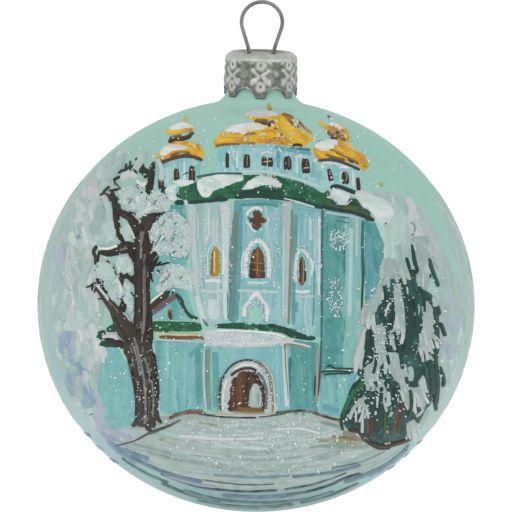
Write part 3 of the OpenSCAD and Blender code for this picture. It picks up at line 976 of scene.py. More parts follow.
lines = Paint(front, 37)
for path, width, shade, end in [
    ([(-4.7, 21.4), (-4.9, 16), (-5.1, 9), (-5.4, 3), (-5.6, -3.4)], [0.9, 0.8, 0.7, 0.7, 0.5], "tan",
     "olive"),
    ([(8.2, 22), (8.2, 15), (7.9, 9), (7.7, 3), (7.5, -4.6)], [0.6, 0.7, 0.7, 0.7, 0.5], "tan",
     "olive"),
    ([(15.25, 22), (15.2, 14), (15.1, 6), (15.1, -2), (15, -8)], [0.5, 0.45, 0.5, 0.45, 0.4],
     "teal_ink", "teal_ink"),
    ([(15, -8), (14.9, -12), (14.6, -17), (14.3, -21)], [0.4, 0.5, 0.4, 0.2], "teal_ink", "brown"),
    ([(24.6, 19.6), (24.4, 14), (24.6, 8), (24.4, 2), (24.2, -1.6)], [0.5, 0.8, 0.8, 0.5, 0.3],
     "teal_ink", "ink"),
    ([(6.6, -8.8), (6.8, -14), (7.2, -19), (7.4, -22)], [0.5, 0.5, 0.4, 0.2], "tan", "olive"),
    ([(13.6, -16), (13.4, -21)], 0.35, "ink", None), ([(7.9, -12), (7.9, -20)], 0.2, "teal_ink", None),
    ([(-6.6, 3.4), (-6.4, -3.4)], 0.25, "teal_ink", None),
    ([(20.4, 14), (20.2, 7)], 0.25, "teal_ink", None),
    # the snowed-over gate beam between the far wall and the fir
    ([(14.7, -15.5), (17, -15.2), (20, -15.3), (24.4, -15.6)], 0.45, "ink", None),
    ([(15.4, -16.1), (17.6, -15.8), (22, -15.8)], 0.4, "green_dark", None),
    ([(16.2, -14.5), (17, -13.9), (18, -14.6), (21, -14.7), (23.8, -14.9)], 0.5, "green_dark", None),
    ([(15.8, -14.9), (19, -14.8), (22.6, -15.1)], 0.35, "mint_pale", None),
    # the left annexe: gable, cornice and its shadow
    ([(-19.4, 3), (-18.2, 1.9), (-17, 0.2), (-16, -1.6), (-14.8, -2.8), (-13.2, -3.2)],
     [0.7, 0.5, 1, 0.8, 1, 0.6], "green_dark", None),
    ([(-18.6, 2.6), (-17.3, 1.4), (-16.6, 0.2)], 0.8, "green_dark", None),
    ([(-23.4, -6.5), (-18, -6.9), (-12.6, -6.9)], 0.6, "cream", None),
    ([(-22.4, -7.4), (-17, -7.5), (-12.8, -7.5), (-11.8, -8.3)], [0.5, 0.9, 1, 0.5], "rust", "umber"),
    ([(-22.6, -8), (-17, -8.3), (-12.2, -8.6)], 0.35, "snow", None),
    ([(-12.4, -3), (-11.6, -4.2), (-11, -5)], 0.6, "slate", None),
    ([(6.4, -8.9), (9, -9.5), (12.4, -9.9)], 0.5, "bark_pale", None),
    ([(2.6, -4.6), (5, -5), (7.4, -5.6)], 0.5, "ink", None),
    ([(6, -6), (7.4, -7), (8.6, -7.6)], 0.4, "ink", None),
]:
    lines.stroke(path, width, shade, 0.18, 0.07, end=end, tips=(0.5, 0.3), columns=5)
lines.finish("drawn_lines", line_paint, 0.85)

# %% [markdown]
# ## Drums and domes
#
# Three gilded domes stand on pale blue drums. Each dome is built up in the order a painter
# would: the gold in broad curved strokes that follow its slope, then deep gold and umber in
# the shadows while the gold is wet, then snow where it would settle.

# %% Drums
drums = Paint(front, 41)
for outline, shades in [
    ([(-23, 33.4), (-20, 34), (-16, 34.6), (-12.6, 33.6), (-12.8, 28), (-14, 25), (-22.6, 25)],
     ["wall", "wall_mid", "mint_pale"]),
    ([(-8.8, 29.4), (-8.8, 36.6), (-4, 37.2), (2, 37), (8, 36.6), (13, 35.6), (14.2, 31), (15.8, 26.2),
      (10, 27.8), (4, 29.4), (0, 29.6)], ["wall", "wall_mid", "wall_pale", "wall"]),
    ([(14.4, 33), (18, 33.2), (22, 32.2), (24, 31), (24, 26), (21.5, 26), (18, 26.6), (14.4, 27.4)],
     ["wall", "wall_pale", "wall_mid"]),
]:
    drums.fill(outline, shades, lift=0.05, thick=0.05, sharp=True, grain=0.9, patch=(0.08, 0.8))
for outline, count in [([(-22.4, 33), (-13.6, 33), (-13.8, 26), (-22, 26)], 20),
                       ([(-8.4, 36), (0, 36.6), (12.6, 35), (14.4, 27), (4, 29.8), (-8.4, 30)], 60),
                       ([(14.8, 32.4), (23.6, 31), (23.6, 26.6), (15, 27.6)], 20)]:
    drums.hatch(outline, count, 3.4, 0.8, -88, ["wall", "wall_pale", "wall_mid", "teal_pale"], 0.09,
                0.05, spread=3)
for path, width, shade in [
    ([(4, 36.2), (8, 35.4), (12.8, 34.6)], 0.9, "teal_blue"),
    ([(7.6, 35.9), (12.6, 35.6)], 0.6, "teal_ink"),
    ([(-8, 36), (-3, 36.4), (3, 36.2)], 0.6, "wall_mid"),
    ([(-4.3, 35.6), (-4.3, 31)], 0.7, "wall_white"),
    ([(5, 35.5), (5.1, 31)], 0.9, "teal_blue"), ([(9.3, 34.6), (9.4, 30)], 0.8, "wall_white"),
    ([(-8.6, 30.2), (0, 30.6), (4, 30.2), (9, 29), (15, 27)], 0.6, "mint_pale"),
    ([(14.2, 33.1), (17, 33.3), (20, 32.6), (24, 30.9)], 0.6, "ink_brown"),
    ([(15, 32.4), (17.5, 32.5), (21.6, 31.4)], 0.5, "snow"),
    ([(18.6, 31.6), (18.6, 27.4)], 0.8, "teal_pale"), ([(22.2, 31), (22.4, 26.8)], 0.8, "wall_white"),
    ([(-22.6, 32.6), (-20, 33.2), (-16.5, 34), (-12.6, 33.6)], 0.7, "brown_dark"),
    ([(-17, 29.6), (-15.4, 30.5)], 0.35, "ink"), ([(-20.2, 32), (-20.2, 27)], 0.8, "wall_pale"),
    ([(-13.6, 33), (-13.4, 28)], 0.8, "teal_pale"), ([(-16.4, 33), (-16.4, 28.4)], 0.7, "wall_white"),
]:
    drums.stroke(path, width, shade, 0.13, 0.06, tips=(0.6, 0.4))
drums.finish("dome_drums", wall_paint, 0.9)

# %% Gold
gold = Paint(front, 43)
for outline, shades in [
    # left cupola and dome
    ([(-21, 39.4), (-18, 39.2), (-14, 40.2), (-14.8, 41.4), (-17, 42), (-20.2, 40.6)],
     ["gold", "gold_deep"]),
    ([(-23.2, 32.4), (-20, 33.6), (-16, 34.8), (-12, 33.3), (-12.8, 35.4), (-14.6, 37.4), (-19, 37.6),
      (-22.4, 34.6)],
     ["gold", "gold_deep", "orange", "gold"]),
    # middle cupola, its long slope and the wide band below
    ([(-2.4, 43.2), (0, 42), (4.4, 41.4), (5, 43.6), (2, 44.8), (-1.4, 44.4)], ["gold", "gold_deep"]),
    ([(-9.6, 36.4), (-6, 37), (-1, 36.8), (4, 37), (8.4, 36.4), (11, 36.4), (13, 37.8), (12.4, 39),
      (10.4, 40.4), (9.3, 42.2), (7.6, 43.4), (6, 44.1), (4.8, 43.2), (4, 41.4), (1, 41), (-3, 40.6),
      (-7.6, 39.6), (-9.4, 38.2)],
     ["gold", "gold", "gold_deep", "gold"]),
    # right cupola and dome
    ([(15.8, 40.2), (17.4, 38.4), (20, 37.8), (21.8, 37), (21.4, 39), (20.6, 40.6), (18.4, 41.6),
      (16.6, 41.4)],
     ["umber", "gold_deep", "gold"]),
    ([(13.1, 35.9), (14.2, 33.3), (17.6, 33.6), (21, 32.8), (23.8, 31.8), (24.4, 30.8), (25.5, 31.2),
      (25.7, 33.4), (23.6, 34.4), (21.6, 36.4), (19.6, 38), (16.6, 38), (14.2, 37.4)],
     ["gold", "gold_deep", "orange", "gold"]),
]:
    gold.fill(outline, shades, lift=0.1, thick=0.08, grain=0.7, patch=(0.3, 0.5), way=-30)
for path, width, shade, end in [
    ([(-22.6, 33.6), (-21.8, 35)], 0.9, "gold", None),
    ([(-14, 37), (-13, 35.8), (-12.4, 34)], 1.2, "orange", "gold"),
    ([(-15.8, 37), (-14.2, 36.6), (-13, 35)], 0.8, "gold", "gold_deep"),
    ([(-20.6, 39.6), (-17.6, 39.6), (-14.4, 40.4)], 0.7, "gold", "orange"),
    ([(-16.4, 44.2), (-16.2, 42.6), (-15.6, 41.6)], [0.25, 0.6, 0.7], "gold_green", "gold"),
    ([(5.4, 43.4), (7.4, 41), (10, 38.8), (12.4, 37.8)], 1.5, "gold", "gold_deep"),
    ([(5, 42.4), (6.8, 40.2), (9.2, 38), (11.4, 37)], 1.5, "gold", None),
    ([(4.6, 41.2), (6.4, 39), (8.6, 37.2)], 1.4, "gold_green", "gold"),
    ([(7.6, 42), (9.6, 40), (12, 38.8)], 0.9, "gold_deep", "gold"),
    ([(3, 39.6), (5, 38), (7.4, 36.8)], 1.1, "gold", "orange"),
    ([(-9.2, 37.4), (-6, 38), (-2.6, 37.7)], 0.9, "gold", "orange"),
    ([(-3, 38.3), (0, 38.6), (3.4, 38)], 0.9, "gold", "gold_deep"),
    ([(0, 37.4), (3, 37.6), (6, 37)], 0.8, "orange", "gold_deep"),
    ([(-8.6, 36.9), (-4, 37.2), (0, 37)], 0.5, "gold_deep", "umber"),
    ([(1, 39.4), (3, 39.8), (4.8, 39.6)], 0.7, "gold_deep", "orange"),
    ([(-8.6, 38.8), (-7, 39.7), (-5, 40)], 0.5, "gold", None),
    ([(2.9, 45.45), (3.0, 45.1), (3.3, 44.4)], [0.4, 1.1, 1.5], "gold_green", "umber"),
    ([(9.4, 42.6), (11, 40.8), (13, 39.2)], 0.5, "rust", "orange"),
    ([(-6, 39), (-3, 39.4), (0, 39.2)], 0.5, "orange", "rust"),
    ([(5.4, 39.4), (7, 37.8), (8.6, 36.8)], 0.5, "rust", "orange"),
    ([(-20, 34.6), (-17.6, 35.2), (-15, 34.8)], 0.6, "orange", "rust"),
    ([(15, 35.6), (17.4, 35.4), (20.4, 34.6)], 0.5, "rust", "orange"),
    ([(21.4, 36.2), (23, 34.6), (24.8, 33.2)], 0.5, "rust", "orange"),
    ([(14.5, 42.1), (15.4, 41.2), (16.6, 40.3)], [0.8, 0.7, 0.4], "gold", "gold_deep"),
    ([(20.4, 40.6), (21, 39), (21.6, 37.4)], 0.8, "gold_green", "gold_deep"),
    ([(17.4, 41.2), (19.2, 40.6), (20.4, 39.4)], 0.7, "gold_deep", "umber"),
    ([(18.8, 38), (19.4, 36.8), (21, 35.4), (23, 33.8)], 1.4, "orange", "gold"),
    ([(20.6, 37), (22.8, 35), (25.2, 33.4)], 1.2, "gold", "orange"),
    ([(23.4, 33.4), (25, 32.6), (25.3, 31.2)], 1.4, "orange", "gold_green"),
    ([(13.6, 35.6), (15, 34.4), (17.4, 34.1)], 0.9, "gold", "gold_green"),
    ([(17.4, 34.6), (19.6, 34), (22, 33)], 0.9, "gold", "gold_deep"),
    ([(28.6, 28.1), (28.9, 27)], 0.5, "gold_green", None),
    ([(28.3, 27.6), (29.2, 27.6)], 0.35, "gold_green", None),
    ([(24.4, 30.9), (24.8, 31.8)], 0.6, "gold_deep", None),
]:
    gold.stroke(path, width, shade, 0.18, 0.09, end=end, tips=(0.5, 0.3))
gold.finish("gilded_domes", gold_paint, 0.97)

# %% Shadows on the gold
shadows = Paint(front, 47)
for path, width, shade in [
    ([(-20.2, 37.4), (-18.6, 38), (-16.6, 38.2), (-14.8, 38.8)], 1.0, "brown_dark"),
    ([(-20, 38.2), (-17, 38.9)], 0.7, "umber"),
    ([(-15.6, 38.8), (-14.2, 39.6)], 0.8, "brown"),
    ([(-22.4, 32.2), (-20, 33.2), (-16, 34.2), (-12.2, 33.2)], 0.8, "brown"),
    ([(-19.8, 34), (-17.4, 35)], 0.5, "umber"), ([(-13.6, 36.6), (-12.6, 35)], 0.35, "umber"),
    ([(-0.4, 42.2), (2, 42.1), (4.4, 41.7)], 0.9, "umber"), ([(0.2, 41.6), (2.6, 41.4)], 0.5, "brown"),
    ([(3, 41.8), (3.2, 40.8)], 0.9, "brown_dark"),
    ([(5.8, 43.7), (7.4, 43.3), (8.8, 42.6)], 0.9, "umber"),
    ([(7, 42.8), (8.2, 41.6), (9.4, 40.4)], 0.9, "umber"),
    ([(6.2, 43.6), (7.2, 42.4), (7.8, 41.2)], 0.5, "orange"),
    ([(8.6, 41.8), (10, 40.6)], 0.6, "umber"),
    ([(-9.4, 36.4), (-6.4, 36.8), (-3.6, 36.7)], 0.45, "umber"),
    ([(2, 37.2), (4.4, 37.5), (6.6, 36.9)], 0.5, "orange"),
    ([(8, 36.6), (9.6, 36.7), (10.8, 36.4)], 0.5, "brown_dark"),
    ([(3.6, 38.2), (6, 37.8)], 0.4, "umber"), ([(3.8, 40.4), (5.2, 40.2)], 0.4, "umber"),
    ([(-3, 38.8), (0.4, 39.2)], 0.35, "umber"),
    ([(16.4, 40.1), (17.2, 39.1), (18.8, 38.7), (20.4, 38.5)], 0.9, "umber"),
    ([(16.8, 39.8), (17.4, 38.8)], 0.7, "brown_dark"),
    ([(18, 39.6), (19.4, 39.3)], 0.7, "brown"), ([(19.4, 38.3), (20.8, 37.7)], 0.7, "umber"),
    ([(17, 38.4), (18.8, 38)], 0.5, "brown"),
    ([(18, 34.9), (20, 34), (22.4, 33), (23.6, 32.2)], 0.6, "umber"),
    ([(15.6, 34.4), (18, 33.7), (20.6, 33.2)], 0.6, "umber"),
    ([(20.6, 33.4), (22.6, 32.6)], 0.5, "brown"), ([(14, 37.5), (16.4, 37.6)], 0.25, "sand_green"),
    ([(16.5, 43.9), (17.6, 42.6)], 0.6, "bark_pink"),
    ([(16, 36.6), (16.9, 35.2)], 0.3, "gold_green"), ([(24.2, 31.4), (25.4, 32)], 0.35, "umber"),
]:
    shadows.stroke(path, width, shade, 0.24, 0.06, tips=(0.6, 0.4), columns=5)
shadows.finish("dome_shadows", line_paint, 0.9)

# %% Snow on the domes
cap_snow = Paint(front, 53)
for outline in [
    [(-20.4, 40), (-19.4, 41.2), (-17, 42), (-15, 41.4), (-14, 40.3), (-16.4, 40.2), (-18.6, 39.8)],
    [(-22.2, 34.4), (-21.6, 36), (-20, 36.9), (-17.4, 36.9), (-15.2, 36.2), (-16.4, 35.2), (-19, 34.8),
     (-21, 33.9)],
    [(-2.6, 43.6), (-1.6, 44.5), (0.6, 44.9), (3.2, 44.8), (5, 44), (4.4, 43.1), (1.4, 43), (-1, 43.1)],
    [(-7.8, 39.4), (-6.4, 40.8), (-4, 41.6), (-0.6, 41.9), (1.8, 41.5), (3.4, 40.6), (1.6, 40),
     (-1.2, 39.4), (-3, 38.8), (-5.6, 39.4)],
    [(16.4, 41.4), (17.6, 42), (19.4, 41.2), (20.6, 39.9), (19.4, 39.9), (17.6, 40.6)],
    [(13.2, 36.3), (14.4, 37.6), (16.8, 38.1), (18.8, 37.8), (18.6, 36.2), (17.2, 35.2), (15.2, 34.9),
     (14, 35.6)],
    [(20.8, 36.6), (22, 36.4), (23.2, 34.9), (22.2, 34.9), (21.4, 35.6)],
]:
    cap_snow.fill(outline, ["snow", "snow_white", "cream", "snow_pink"], lift=0.2, thick=0.14,
                  lumps=0.12, grain=0.6, way=-10)
for path, width, shade in [
    ([(1.2, 39.2), (2.4, 38.9)], 0.6, "cream"), ([(8.4, 41.6), (9.6, 40.8)], 0.9, "snow_pink"),
    ([(4.6, 39.4), (5.6, 38.8)], 0.5, "cream"),
    ([(-1.8, 43.6), (0.4, 43.3), (3.6, 43.4)], 0.6, "snow_pink"),
    ([(16.9, 42.9), (17.5, 42.3)], 0.7, "snow_pink"),
    ([(3.4, 41.4), (4, 40.8)], 0.5, "snow"), ([(-14.6, 36.6), (-13.6, 35.9)], 0.6, "cream"),
    ([(-21.8, 34), (-21, 33.4)], 0.7, "snow"),
    ([(20.2, 38.9), (20.8, 38.3)], 0.5, "cream"), ([(17.6, 36.4), (18.8, 36.2)], 0.4, "gold_green"),
]:
    cap_snow.stroke(path, width, shade, 0.3, 0.1)
cap_snow.finish("dome_snow", snow_paint, 0.95)

# %% [markdown]
# ## The snowed-over roofs
#
# The copper roofs are two bands of green, dark at the eaves and brightest to the right of the
# middle, with snow lying on them in thick lumps. The lumps are modelled, not shaded: they are
# fills whose surface rises in heaps, as structure paste does when it is dabbed on.

# %% Roofs
roofs = Paint(front, 59)
for outline, shades in [
    ([(-18.4, 25), (-17.6, 27), (-15.4, 28.2), (-12, 29.4), (-8, 30), (-3, 30), (2, 30.1), (6, 29.5),
      (10, 28.4), (13, 27.1), (15.4, 25.8), (17, 26.9), (16.4, 25), (15.6, 22.3), (12, 23), (8.4, 24),
      (3, 24.5), (-3, 24.5), (-7, 24.1), (-12, 23.5), (-15.6, 23.2), (-16.6, 24)],
     ["green_dark", "green", "green_bright", "green"]),
    ([(-20.9, 24.4), (-19.4, 23.4), (-18, 24.2), (-16.6, 24), (-16.6, 22.9), (-18.4, 22.7),
      (-20, 22.9)], ["ink", "green_dark"]),
    ([(15.8, 24.6), (17.6, 24.2), (19, 23.2), (21, 24.3), (23.2, 24.4), (24.8, 22.6), (26.2, 21.4),
      (27.6, 19.2), (25.6, 19.2), (24, 20.3), (20, 21.2), (16.4, 21.9),
      (15, 22.6)], ["green_dark", "moss", "green"]),
    ([(-24, -3.9), (-18, -3.8), (-13.4, -4), (-12.5, -5), (-12.8, -6.1), (-18, -6.2), (-24.2, -6)],
     ["green", "green_grass", "green"]),
    ([(-9.8, -5.3), (-8.8, -4.4), (-3, -4), (2, -4.4), (5.4, -4.8), (8.4, -5.7), (11, -6.7),
      (13.9, -7.4), (13, -8.3), (9, -7.8), (6, -6.6), (3, -6.2), (-3, -5.7),
      (-8, -5.5)], ["green", "green_dark", "green"]),
    ([(-35.2, -5.9), (-33, -4.4), (-31.8, -4.4), (-32, -6.2), (-34.4, -6.3)], ["green_dark", "green"]),
    ([(-37.8, -7.4), (-36, -6), (-34.6, -5.9), (-34.8, -7.8), (-36.4, -8.2)], ["green_dark", "green"]),
    ([(-36.9, -8.9), (-35, -8.2), (-32.4, -9), (-31.6, -9.9), (-34, -9.9), (-36.2, -10)],
     ["green_dark"]),
]:
    roofs.fill(outline, shades, lift=0.1, thick=0.08, grain=0.8, way=-20, patch=(0.25, 0.5))
roofs.hatch([(5, 29.4), (9, 28.4), (14, 26.2), (14.6, 23.4), (10, 24.4), (5, 25.6)], 26, 2.6, 1.0, -38,
            ["green_bright", "green", "green_bright"], 0.16)
roofs.hatch([(-6, 26.6), (4, 26.4), (14, 23.6), (8, 24.2), (0, 24.8), (-6, 24.8)], 24, 2.6, 0.8, -12,
            ["green_dark", "green"], 0.16)
roofs.hatch([(-17.8, 26.4), (-15, 27.8), (-14.6, 24.6), (-17, 24.8)], 12, 1.6, 0.8, 30,
            ["green_grass", "moss", "green_bright"], 0.16)
roofs.hatch([(-23.6, -4.2), (-13.2, -4.2), (-12.9, -5.9), (-23.8, -5.8)], 16, 2.4, 0.7, -4,
            ["green_grass", "green", "green_bright"], 0.16)
roofs.hatch([(-8.6, -4.7), (4, -4.7), (12, -7.2), (4, -6), (-7, -5.3)], 16, 2.0, 0.6, -8,
            ["green", "green_dark", "green_bright"], 0.16)
for path, width, shade in [
    ([(-15.4, 23.4), (-10, 23.9), (-6.4, 24.2)], 0.8, "ink"),
    ([(-5, 24.7), (1, 24.8), (8, 24.2), (12, 23.2), (15.6, 22.2)], 0.9, "green_dark"),
    ([(15.2, 22.6), (18, 21.9), (22, 21.2), (24.6, 20.4), (27.3, 19.3)], 0.8, "ink"),
    ([(17, 26.9), (18.6, 27.2), (20.8, 26.5), (23, 25.6)], 0.9, "ink"),
    ([(16.4, 24.4), (16.6, 26.2)], 0.9, "moss"),
    ([(-20.9, 24.5), (-21.4, 26.2), (-20.6, 27)], 0.8, "ink"),
    ([(-21.8, 25.4), (-20.4, 24.6)], 0.8, "teal_ink"),
    ([(-4, 25.5), (2, 25.9), (6, 25.6)], 0.9, "ink"),
    ([(2.6, -5), (6, -5.3), (8.6, -6.4), (12.6, -7.9)], 0.7, "green_dark"),
    ([(-14, 29.2), (-9, 30), (-3, 30.1)], 0.5, "teal_ink"), ([(24.6, 22), (26.4, 20.6)], 0.8, "green"),
    ([(20, 22.6), (23.6, 22)], 0.9, "moss"),
]:
    roofs.stroke(path, width, shade, 0.18, 0.06, tips=(0.6, 0.4))
roofs.finish("copper_roofs", leaf_paint, 0.8)

# %% Snow on the roofs
roof_snow = Paint(front, 61)
for outline, lumps in [
    ([(-13.7, 28), (-12.4, 29.2), (-9, 30), (-5.6, 30), (-3, 29.7), (-2.8, 28.4), (-5, 27.7),
      (-7.4, 26.6), (-9.4, 26), (-10.4, 24.7), (-12, 24.4), (-13.2, 25.6)], 0.25),
    ([(-3.4, 26.2), (-2.2, 28.2), (0, 29.4), (2, 29.9), (4.2, 29), (6.1, 27.9), (5.8, 26.6),
      (4.4, 26.9), (2, 27.2), (-0.6, 26.4)], 0.2),
    ([(15.9, 24.6), (17, 25.4), (17.8, 26.5), (20, 26.2), (22.5, 25.2), (21.4, 24.3), (20.6, 22.7),
      (18.8, 23), (18, 24.2)], 0.2),
    ([(22.7, 25.9), (26, 25.4), (29.4, 24.2), (31.6, 22), (31.2, 19.6), (29, 18.3), (27.6, 19.1),
      (26.8, 20.6), (25.2, 21.9), (23.8, 23.4)], 0.15),
    ([(-21, 26.4), (-19, 27.8), (-17.6, 27.8), (-18.4, 25.8), (-18.4, 24.2), (-19.6, 23.8),
      (-20.6, 24.8)], 0.25),
    ([(-19.4, 28.4), (-16.8, 29), (-14, 28.4), (-15, 27.4), (-17.4, 27)], 0.15),
]:
    roof_snow.fill(outline, ["snow", "frost_pale", "snow_white", "mint_pale"], lift=0.2, thick=0.15,
                   lumps=lumps, grain=0.6, way=-15)
roof_snow.hatch([(23.6, 25.2), (28.6, 24), (31, 21), (29, 19), (26.6, 21.4)], 16, 4.5, 1.1, -38,
                ["snow", "snow_pink", "frost_pale"], 0.3)
roof_snow.hatch([(-12.6, 28.4), (-4, 29.2), (-8, 27.2), (-11.6, 25.4)], 16, 2.2, 1.2, -20,
                ["snow_white", "snow", "mint_pale"], 0.35, 0.1)
# the snow on the ledge under the lower roof
roof_snow.fill([(-11.6, -5.9), (-4, -5.9), (4, -6.4), (6.4, -7.4), (9, -8), (7, -9.2), (0, -9.9),
                (-8, -9.9), (-11.9, -8.8)], ["snow_grey", "snow_pink", "frost"], lift=0.12, thick=0.08,
               lumps=0.06, grain=0.7, way=0)
for path, width, shade in [
    ([(-9.4, -5.9), (-3, -6), (4, -6.6), (7, -7.6)], 0.5, "snow_white"),
    ([(-8, -8.6), (0, -8.9), (5, -8.6)], 0.5, "snow"),
    ([(5, -8.2), (9, -8.8), (12.8, -9.7)], 0.5, "snow_pink"),
    ([(6, 24.4), (9, 23.7), (13.6, 22.3)], 0.3, "snow"),
    ([(17.4, 26.9), (18.2, 26.2)], 0.4, "snow_white"),
    ([(-16.2, 24.2), (-15.9, 22.8)], 0.8, "wall_white"),
    ([(-34.6, -6.7), (-32.6, -7.2), (-31.4, -7.3)], 1.3, "snow_pink"),
]:
    roof_snow.stroke(path, width, shade, 0.2, 0.1)
roof_snow.finish("roof_snow", snow_paint, 0.9)

# %% [markdown]
# ## Windows
#
# Each window is a dab of brown pulled down with a round brush, so its top is round and its
# edges run a little. Glazing bars and light catch on the glass in thin cream lines. The snow
# that frames each arch is stippled on round it.

# %% Window openings and their bars
panes = Paint(front, 67)
bars = Paint(front, 71)
frames = Paint(front, 73)
for x, top, foot, width, lean in [(-21.9, 29.9, 26.2, 1.4, 0.2), (-18.3, 31.6, 28, 1.4, 0.2),
                                  (-14.7, 32.3, 27.8, 1.6, 0), (-6.6, 35.1, 31.2, 0.9, 0),
                                  (-2.1, 34.9, 30.9, 1.7, 0), (7.2, 34.5, 30.5, 2.0, 0.1),
                                  (16.6, 31.5, 28.1, 1.2, 0.7), (20.2, 30.9, 27.3, 1.9, 0.5),
                                  (23.3, 29.4, 26.1, 1.0, 0.3), (1.9, 34.4, 31.3, 1.5, 0),
                                  (3.3, 34.2, 31.2, 1.4, 0), (11.2, 34, 29.7, 2.1, 0.4)]:
    panes.stroke([(x, top), (x + lean / 2, (top + foot) / 2), (x + lean, foot)],
                 [width * 0.8, width, width], "brown_dark", 0.16, 0.05, tips=(0.55, 0.85))
panes.fill([(-1.6, 6), (-1.7, 8), (-1.4, 11), (-0.8, 12.6), (0.3, 13.5), (1.5, 12.6), (2, 11), (2.2, 8),
            (2.1, 6)],
           ["brown_dark", "brown", "rust"], 0.14, 0.06, grain=0.6)
panes.fill([(-10.6, 6.6), (-10.6, 9.6), (-10.3, 12.4), (-9.3, 13.6), (-8.5, 12.6), (-8, 10),
            (-8.2, 7.6), (-8.7, 6.4)],
           ["ochre", "ochre_dark", "gold_deep"], 0.14, 0.06, grain=0.6, patch=(0.1, 1.4))
panes.fill([(9.7, 4.4), (9.6, 7.6), (9.8, 10.4), (10.6, 11.3), (11.3, 10.4), (11.6, 7.6), (11.3, 5),
            (10.7, 4.2)],
           ["brown_dark", "umber", "bark"], 0.14, 0.06, grain=0.6, patch=(0.1, 1.4))
# the four-lobed window
for cx, cz, r in [(0.3, 20.7, 1.1), (0.2, 18.3, 1.15), (-0.9, 19.5, 0.8), (1.5, 19.4, 0.75),
                  (0.3, 19.5, 1.2)]:
    panes.dot(np.array([cx, cz]), r, "brown", 0.14, 10)
for path, width, shade in [([(-1.6, 19.9), (-2, 20)], 0.5, "brown_dark"),
                           ([(1.9, 19.4), (2.5, 19.3)], 0.6, "umber"),
                           ([(-19.6, -0.9), (-19.9, -2.2)], 0.9, "umber"),
                           ([(-19.9, -1.6), (-19.4, -3.4)], 1.2, "ochre_dark"),
                           ([(-9.8, 12.8), (-9.8, 6.8)], 0.35, "umber"),
                           ([(-8.6, 12), (-8.4, 7)], 0.4, "gold_green"),
                           ([(10.2, 10.6), (10.2, 4.8)], 0.3, "brown_dark"),
                           ([(11.3, 8.4), (11.3, 5.2)], 0.35, "ink_brown"),
                           ([(9.8, 9.2), (10.6, 9.4)], 0.3, "brown_dark"),
                           ([(-2.3, 9.9), (-2.1, 9.4)], 0.35, "ink_brown")]:
    panes.stroke(path, width, shade, 0.2, 0.05)
panes.finish("window_panes", line_paint, 0.9)

for path, width, shade in [
    ([(0.4, 13), (0.3, 9.6), (0.3, 6.4)], 0.35, "ochre"),
    ([(-1.4, 9.8), (0.4, 9.5), (2, 9.5)], 0.25, "ochre"),
    ([(-1.2, 11.6), (0.6, 11.3)], 0.22, "tan"), ([(-1.2, 8.1), (0.6, 7.9), (2, 7.5)], 0.25, "ochre"),
    ([(0.4, 6.9), (1, 6.2)], 0.2, "tan"),
    ([(-9.6, 12.6), (-9.5, 9.6), (-9.6, 7)], 0.55, "cream"), ([(-9.3, 11), (-9.2, 8)], 0.3, "ochre"),
    ([(10.7, 10.8), (10.9, 8), (10.8, 4.8)], 0.3, "sand"), ([(2.6, 34.2), (2.6, 31.6)], 0.25, "cream"),
    ([(1.4, 32.6), (3.8, 32.9)], 0.22, "cream"),
    ([(1.3, 33.5), (3.6, 33.7)], 0.2, "bark_pale"), ([(7.5, 34), (7.6, 31.2)], 0.3, "bark_pink"),
    ([(11.5, 33.4), (11.6, 30.6)], 0.25, "bark_pink"),
    ([(10.6, 31.2), (12.4, 31.4)], 0.25, "snow_pink"),
    ([(20.4, 30.6), (20.8, 29), (20.2, 28)], 0.35, "tan"),
    ([(17.1, 29.6), (17.4, 28.6)], 0.5, "snow_pink"),
    ([(16.8, 31), (17, 29.4)], 0.3, "bark_pale"), ([(-2, 34.4), (-2, 31.4)], 0.25, "tan"),
    ([(-21.8, 29), (-21.6, 27)], 0.45, "umber"),
    ([(-14.6, 31.6), (-14.6, 28.6)], 0.35, "umber"), ([(-18.1, 31), (-18, 28.8)], 0.3, "umber"),
    ([(-0.3, 20.6), (0.5, 19.4)], 0.3, "rust"),
]:
    bars.stroke(path, width, shade, 0.24, 0.05, columns=5)
bars.finish("window_bars", line_paint, 0.95)

